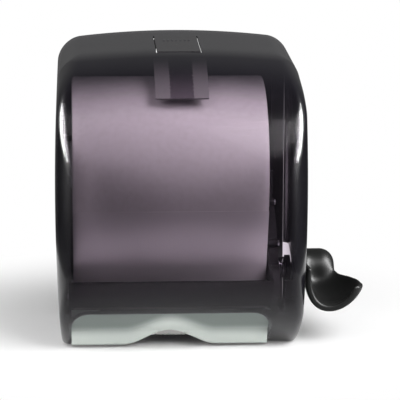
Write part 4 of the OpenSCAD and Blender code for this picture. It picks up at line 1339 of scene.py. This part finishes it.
@dataclass
class HandLever:
    """The moulded hand lever: a round hub that flows into a scooped blade. Sizes in millimetres."""

    x0: float = 133.2
    shaft: tuple[float, float] = (-50.0, 64.0)
    hub_r: float = 21.0
    hub_l: float = 42.0
    hub_round: float = 16.0
    reach: float = 102.0
    blade: float = 4.0
    lip: float = 7.0
    bore: float = 6.0
    out: float = 65.0
    flow: float = 15.0
    step: float = 0.8
    end_round: float = 2.6
    tip_back: float = 12.0
    screw: tuple[float, float] = (9.0, 1.52)
    play: float = 0.05
    hub_section: Sequence = ((3.6, 14), (5, -4), (12, -14), (30, -6))
    tip_section: Sequence = ((3.3, 18), (-2.6, -39), (46, -29.5), (60.8, -2))

    def mid(self, s: float, t: np.ndarray) -> np.ndarray:
        """Middle line of the blade's section.

        Args:
            s: Share of the reach.
            t: Places across the blade, 0 to 1.

        Returns:
            Points [out, up] from the hub's inner face and the shaft.
        """
        grown, turning = 0.75, 0.8
        e = math.sin(math.pi / 2 * min(1.0, max(0.0, s) / grown))
        a, b = np.array(self.hub_section, float), np.array(self.tip_section, float)
        c = a + e * (b - a)
        if s > turning:
            near_end = min(1.0, (s - turning) / (1 - turning))
            c[3, 0] -= self.tip_back * (1 - math.sqrt(max(0.0, 1 - 0.96 * near_end ** 2)))
        w = np.stack([(1 - t) ** 3, 3 * t * (1 - t) ** 2, 3 * t * t * (1 - t), t ** 3], axis=1)
        return w @ c

    def field_of_blade(self, x: np.ndarray, y: np.ndarray, z: np.ndarray) -> np.ndarray:
        """Distance to the blade.

        Args:
            x: Grid places out from the hub's inner face.
            y: Grid places forward from the shaft.
            z: Grid places up from the shaft.

        Returns:
            The distances on the grid, negative inside.
        """
        lip_start, lip_run = 0.75, 0.15
        t = np.linspace(0, 1, 81)
        out = np.empty((len(x), len(y), len(z)))
        gx, gz = np.meshgrid(x, z, indexing="ij")
        for j, yj in enumerate(y):
            s = min(1.0, max(0.0, yj / self.reach))
            lip = math.sin(math.pi / 2 * min(1.0, max(0.0, s - lip_start) / lip_run))
            half = (self.blade + (self.lip - self.blade) * lip) / 2
            d = np.full(gx.shape, 1e9)
            for (mx, mz), tt in zip(self.mid(s, t), t):
                thin = half * math.sqrt(1 - 0.5 * (2 * tt - 1) ** 8)
                d = np.minimum(d, np.hypot(gx - mx, gz - mz) - thin)
            out[:, j] = meet(d, max(-yj, yj - self.reach), self.end_round)
        return out

    def field_of_hub(self, x: np.ndarray, y: np.ndarray, z: np.ndarray) -> np.ndarray:
        """Distance to the hub with its rounded end.

        Args:
            x: Grid places out from the hub's inner face.
            y: Grid places forward from the shaft.
            z: Grid places up from the shaft.

        Returns:
            The distances on the grid, negative inside.
        """
        gx, gy, gz = np.meshgrid(x, y, z, indexing="ij")
        return meet(gx - self.hub_l, np.hypot(gy, gz) - self.hub_r, self.hub_round)

    def build(self) -> None:
        """Flows hub and blade into one moulding, drills it and places it."""
        around, below = 3.0, -33.0
        x = np.arange(-2.0, self.out + around, self.step)
        y = np.arange(-self.hub_r - around, self.reach + around, self.step)
        z = np.arange(below, self.hub_r + around + 1, self.step)
        hub, blade = self.field_of_hub(x, y, z), self.field_of_blade(x, y, z)
        near = np.maximum(self.flow - np.abs(hub - blade), 0) / self.flow
        flow_from, flow_full, inner_face = 2.0, 22.0, 0.1
        ahead = smoothstep(flow_from, flow_full, y)[None, :, None]
        both = np.minimum(hub, blade) - near ** 2 * self.flow / 4 * ahead
        both = np.maximum(both, inner_face - x[:, None, None])
        verts, faces = surface_nets(both, np.array([x[0], y[0], z[0]]), self.step)
        cy, cz = self.shaft
        obj = clean(new_object("hand_lever", [spot(self.x0 + a, cy - b, cz + c) for a, b, c in verts], faces))
        soft = obj.modifiers.new("soft", "SMOOTH")
        soft.factor, soft.iterations = 0.5, 6
        apply_modifiers(obj)
        turn = np.linspace(0, 2 * math.pi, 49)[:-1]
        bore_r, bore_floor, past = self.bore + self.play, 6, 2
        ring = [spot(0, cy + bore_r * math.cos(a), cz + bore_r * math.sin(a))[1:] for a in turn]
        bore = prism("bore", ring, (self.x0 - past) * MM, (self.x0 + self.hub_l - bore_floor) * MM, 0)
        at, r = self.screw
        ring = [spot(self.x0 + at + r * math.cos(a), cy + r * math.sin(a), 0)[:2] for a in turn[::2]]
        screw = prism("screw_hole", ring, (cz - self.hub_r - 2 * past) * MM - FOOT, cz * MM - FOOT, 2)
        cut(obj, [bore, screw])
        place(smooth_by_angle(obj, 50), Body.LEVER, Slot.LEVER, LEVER, "lever")


# ---------------------------------------------------------------- small works

@dataclass
class SmallWorks:
    """The lever's return spring, wound as a fine wire. Sizes in millimetres and degrees."""

    shaft: tuple[float, float] = (-50.0, 64.0)
    coil_r: float = 11.0
    wire: float = 0.9
    coil_start: float = 108.8
    end_leg: float = 5.2
    turns: int = 4
    first: float = 68.0
    last: float = 90.0
    steps: int = 28

    def at(self, x: float, degrees: float) -> Point:
        """Returns the point of the wire at x and an angle, in metres."""
        a = math.radians(degrees)
        return spot(x, self.shaft[0] + self.coil_r * math.cos(a), self.shaft[1] + self.coil_r * math.sin(a))

    def spring(self) -> Object:
        """Winds the return spring along the CAD spring's own length and returns it."""
        lo, hi = (end.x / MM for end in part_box("lever_spring"))
        start, stop = self.coil_start, hi - self.end_leg
        pts = [self.at(lo, 45), self.at(start - 2, 45), self.at(start - 0.6, 54)]
        count = self.turns * self.steps
        pts += [self.at(start + (stop - start) * i / count, self.first + 360 * self.turns * i / count)
                for i in range(count + 1)]
        pts += [self.at(stop + 0.7, self.last - 8), self.at(stop + 2.2, self.last), self.at(hi, self.last)]
        return tube_on_curve(poly_line("return_spring", pts), self.wire * MM, 12, SPRING)

    def build(self) -> None:
        """Builds and places the small works."""
        place(self.spring(), Body.CASE, Slot.STEEL, SPRING, "lever_spring")


# ---------------------------------------------------------------- studio

@dataclass(frozen=True)
class Softbox:
    """A soft box that faces the dispenser.

    Args:
        name: Name of the lamp.
        azimuth: Its direction round the dispenser in degrees, 0 in front and 90 at the right.
        elevation: Its direction above the floor in degrees.
        distance: Its distance in metres.
        size: Its width and height in metres.
        power: Its power in watts.
        gloss_only: Whether it is a reflector that shows in glossy surfaces and lights nothing.
    """

    name: str
    azimuth: float
    elevation: float
    distance: float
    size: tuple[float, float]
    power: float
    gloss_only: bool = False

    def build(self) -> None:
        """Hangs the lamp."""
        data = bpy.data.lights.new(self.name, "AREA")
        data.shape, data.energy = "RECTANGLE", self.power
        data.size, data.size_y = self.size
        obj = bpy.data.objects.new(self.name, data)
        bpy.context.scene.collection.objects.link(obj)
        way = look_way(self.azimuth, self.elevation)
        obj.location = Vector(LAMP_AIM) + way * self.distance
        obj.rotation_mode = "QUATERNION"
        obj.rotation_quaternion = (-way).to_track_quat("-Z", "Y")
        obj.visible_camera = False
        obj.visible_diffuse = not self.gloss_only


LAMP_AIM = (0.0, -0.1, 0.0)    # the point inside the dispenser that every lamp faces
SOFTBOXES = (
    Softbox("left_strip", -81.0, 22.0, 1.25, (0.62, 1.0), 95.0, gloss_only=True),
    Softbox("right_strip", 77.0, 22.0, 1.25, (0.50, 1.0), 75.0, gloss_only=True),
    Softbox("front_box", 42.0, 36.0, 1.6, (1.3, 0.9), 42.0),
    Softbox("left_fill", -50.0, 45.0, 1.7, (1.2, 0.9), 14.0),
)


def look_way(azimuth: float, elevation: float) -> Vector:
    """Returns the direction from the dispenser at two angles in degrees, with 0 in front."""
    a, e = math.radians(azimuth), math.radians(elevation)
    return Vector((math.sin(a) * math.cos(e), -math.cos(a) * math.cos(e), math.sin(e)))


@dataclass(frozen=True)
class Studio:
    """Camera, floor, backdrop and lamps.

    Args:
        target: The point that the camera looks at, in metres.
        distance: The camera's distance in metres.
        azimuth: Its direction round the dispenser in degrees.
        elevation: Its direction above the floor in degrees.
        lens: Focal length in millimetres.
        shift: Lens shift, which frames the dispenser as in the photograph.
        floor_half: Radius of the floor's disc in metres.
        floor_colour: Colour of the floor.
        fade: Distances from its middle between which the floor turns plain white.
        ambient: Strength of the even light on matte surfaces.
        room: Strength that gloss sees, of the dim room and of its lighter part up behind.
        room_way: Direction of the lighter part.
        room_edge: Shares of that direction between which it grows.
    """

    target: tuple[float, float, float] = (0.0, -0.108, -0.0104)
    distance: float = 2.2
    azimuth: float = -3.1
    elevation: float = 10.2
    lens: float = 184.7
    shift: tuple[float, float] = (0.0532, 0.0)
    floor_half: float = 0.45
    floor_colour: Colour = (0.86, 0.86, 0.86)
    fade: tuple[float, float] = (0.18, 0.42)
    ambient: float = 0.25
    room: tuple[float, float] = (0.02, 0.21)
    room_way: Point = (0.0, 0.8, 0.6)
    room_edge: tuple[float, float] = (0.55, 0.9)

    def camera(self) -> None:
        """Makes the camera at the photograph's angle."""
        data = bpy.data.cameras.new("camera")
        cam = bpy.data.objects.new("camera", data)
        bpy.context.scene.collection.objects.link(cam)
        back = look_way(self.azimuth, self.elevation)
        cam.location = Vector(self.target) + back * self.distance
        cam.rotation_mode = "QUATERNION"
        cam.rotation_quaternion = (-back).to_track_quat("-Z", "Y")
        data.lens, data.sensor_width = self.lens, 36.0
        data.shift_x, data.shift_y = self.shift
        data.clip_start, data.clip_end = 0.05, 40.0
        bpy.context.scene.camera = cam

    def floor_white(self) -> bpy.types.Material:
        """Builds the floor's matte white, which runs out into the plain white of the backdrop.

        Returns:
            The material.
        """
        mat = bpy.data.materials.new("floor_white")
        mat.use_nodes = True
        nodes, links = mat.node_tree.nodes, mat.node_tree.links
        shader = nodes["Principled BSDF"]
        noise, ramp, coords, path = (nodes.new(t) for t in (
            "ShaderNodeTexNoise", "ShaderNodeMapRange", "ShaderNodeTexCoord", "ShaderNodeLightPath"))
        scale, rough = 30.0, (0.85, 0.95)
        noise.inputs["Scale"].default_value = scale
        links.new(coords.outputs["Object"], noise.inputs["Vector"])
        links.new(noise.outputs["Fac"], ramp.inputs["Value"])
        ramp.inputs["To Min"].default_value, ramp.inputs["To Max"].default_value = rough
        links.new(ramp.outputs["Result"], shader.inputs["Roughness"])
        shader.inputs["Base Color"].default_value = (*self.floor_colour, 1.0)
        shader.inputs["Specular IOR Level"].default_value = 0.0
        glow, mix = nodes.new("ShaderNodeEmission"), nodes.new("ShaderNodeMixShader")
        away, fade, seen, both, times = (nodes.new("ShaderNode" + kind) for kind in (
            "VectorMath", "MapRange", "Math", "Math", "Math"))
        away.operation = "LENGTH"
        fade.interpolation_type = "SMOOTHSTEP"
        fade.inputs["From Min"].default_value, fade.inputs["From Max"].default_value = self.fade
        seen.operation = both.operation = "MAXIMUM"
        times.operation = "MULTIPLY"
        links.new(coords.outputs["Object"], away.inputs[0])
        links.new(away.outputs["Value"], fade.inputs["Value"])
        links.new(path.outputs["Is Camera Ray"], seen.inputs[0])
        links.new(path.outputs["Is Glossy Ray"], seen.inputs[1])
        links.new(seen.outputs[0], both.inputs[0])
        links.new(path.outputs["Is Transmission Ray"], both.inputs[1])
        links.new(both.outputs[0], times.inputs[0])
        links.new(fade.outputs["Result"], times.inputs[1])
        links.new(times.outputs[0], mix.inputs[0])
        links.new(shader.outputs[0], mix.inputs[1])
        links.new(glow.outputs[0], mix.inputs[2])
        links.new(mix.outputs[0], nodes["Material Output"].inputs["Surface"])
        return mat

    def floor(self) -> None:
        """Makes the floor that the dispenser stands over."""
        z, w = -FOOT - 0.0004, self.floor_half
        ring = np.linspace(0, 2 * math.pi, 97)[:-1]
        edge = [(w * math.cos(a), w * math.sin(a), z) for a in ring]
        obj = new_object("floor", edge, [tuple(range(len(ring)))])
        obj.data.materials.append(self.floor_white())

    def world(self) -> None:
        """Sets a soft even light, white to the camera and dim to gloss, with a lighter part up behind."""
        world = bpy.data.worlds.new("studio")
        bpy.context.scene.world = world
        world.use_nodes = True
        nodes, links = world.node_tree.nodes, world.node_tree.links
        bg = nodes["Background"]
        bg.inputs["Color"].default_value = (1.0, 1.0, 1.0, 1.0)
        path, coords, split, room, either, soft, seen = (nodes.new(t) for t in (
            "ShaderNodeLightPath", "ShaderNodeTexCoord", "ShaderNodeVectorMath", "ShaderNodeMapRange",
            "ShaderNodeMath", "ShaderNodeMix", "ShaderNodeMix"))
        split.operation = "DOT_PRODUCT"
        split.inputs[1].default_value = self.room_way
        links.new(coords.outputs["Generated"], split.inputs[0])
        links.new(split.outputs["Value"], room.inputs["Value"])
        room.inputs["From Min"].default_value, room.inputs["From Max"].default_value = self.room_edge
        room.inputs["To Min"].default_value, room.inputs["To Max"].default_value = self.room
        either.operation = "MAXIMUM"
        links.new(path.outputs["Is Camera Ray"], either.inputs[0])
        links.new(path.outputs["Is Transmission Ray"], either.inputs[1])
        links.new(path.outputs["Is Glossy Ray"], soft.inputs[0])
        soft.inputs[2].default_value = self.ambient
        links.new(room.outputs["Result"], soft.inputs[3])
        links.new(either.outputs[0], seen.inputs[0])
        links.new(soft.outputs[0], seen.inputs[2])
        seen.inputs[3].default_value = 1.0
        links.new(seen.outputs[0], bg.inputs["Strength"])

    def build(self) -> None:
        """Builds the floor and the lamps."""
        self.floor()
        self.world()
        for lamp in SOFTBOXES:
            lamp.build()


def dress_frame() -> None:
    """Gives every CAD node its finish."""
    for name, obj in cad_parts.items():
        dress(obj, NODE_FINISHES[name])


def main() -> None:
    """Builds the camera, the pieces and the studio in order."""
    logging.basicConfig(level=logging.INFO, format="%(name)s: %(message)s")
    bpy.context.scene.view_settings.view_transform = "Standard"
    studio = Studio()
    studio.camera()
    dress_frame()
    for part in (SmokeCover(), TowelRoll(), Chute(), HandLever(), SmallWorks()):
        part.build()
        log.info("%s is built", type(part).__name__)
    studio.build()


if __name__ == "__main__":
    main()
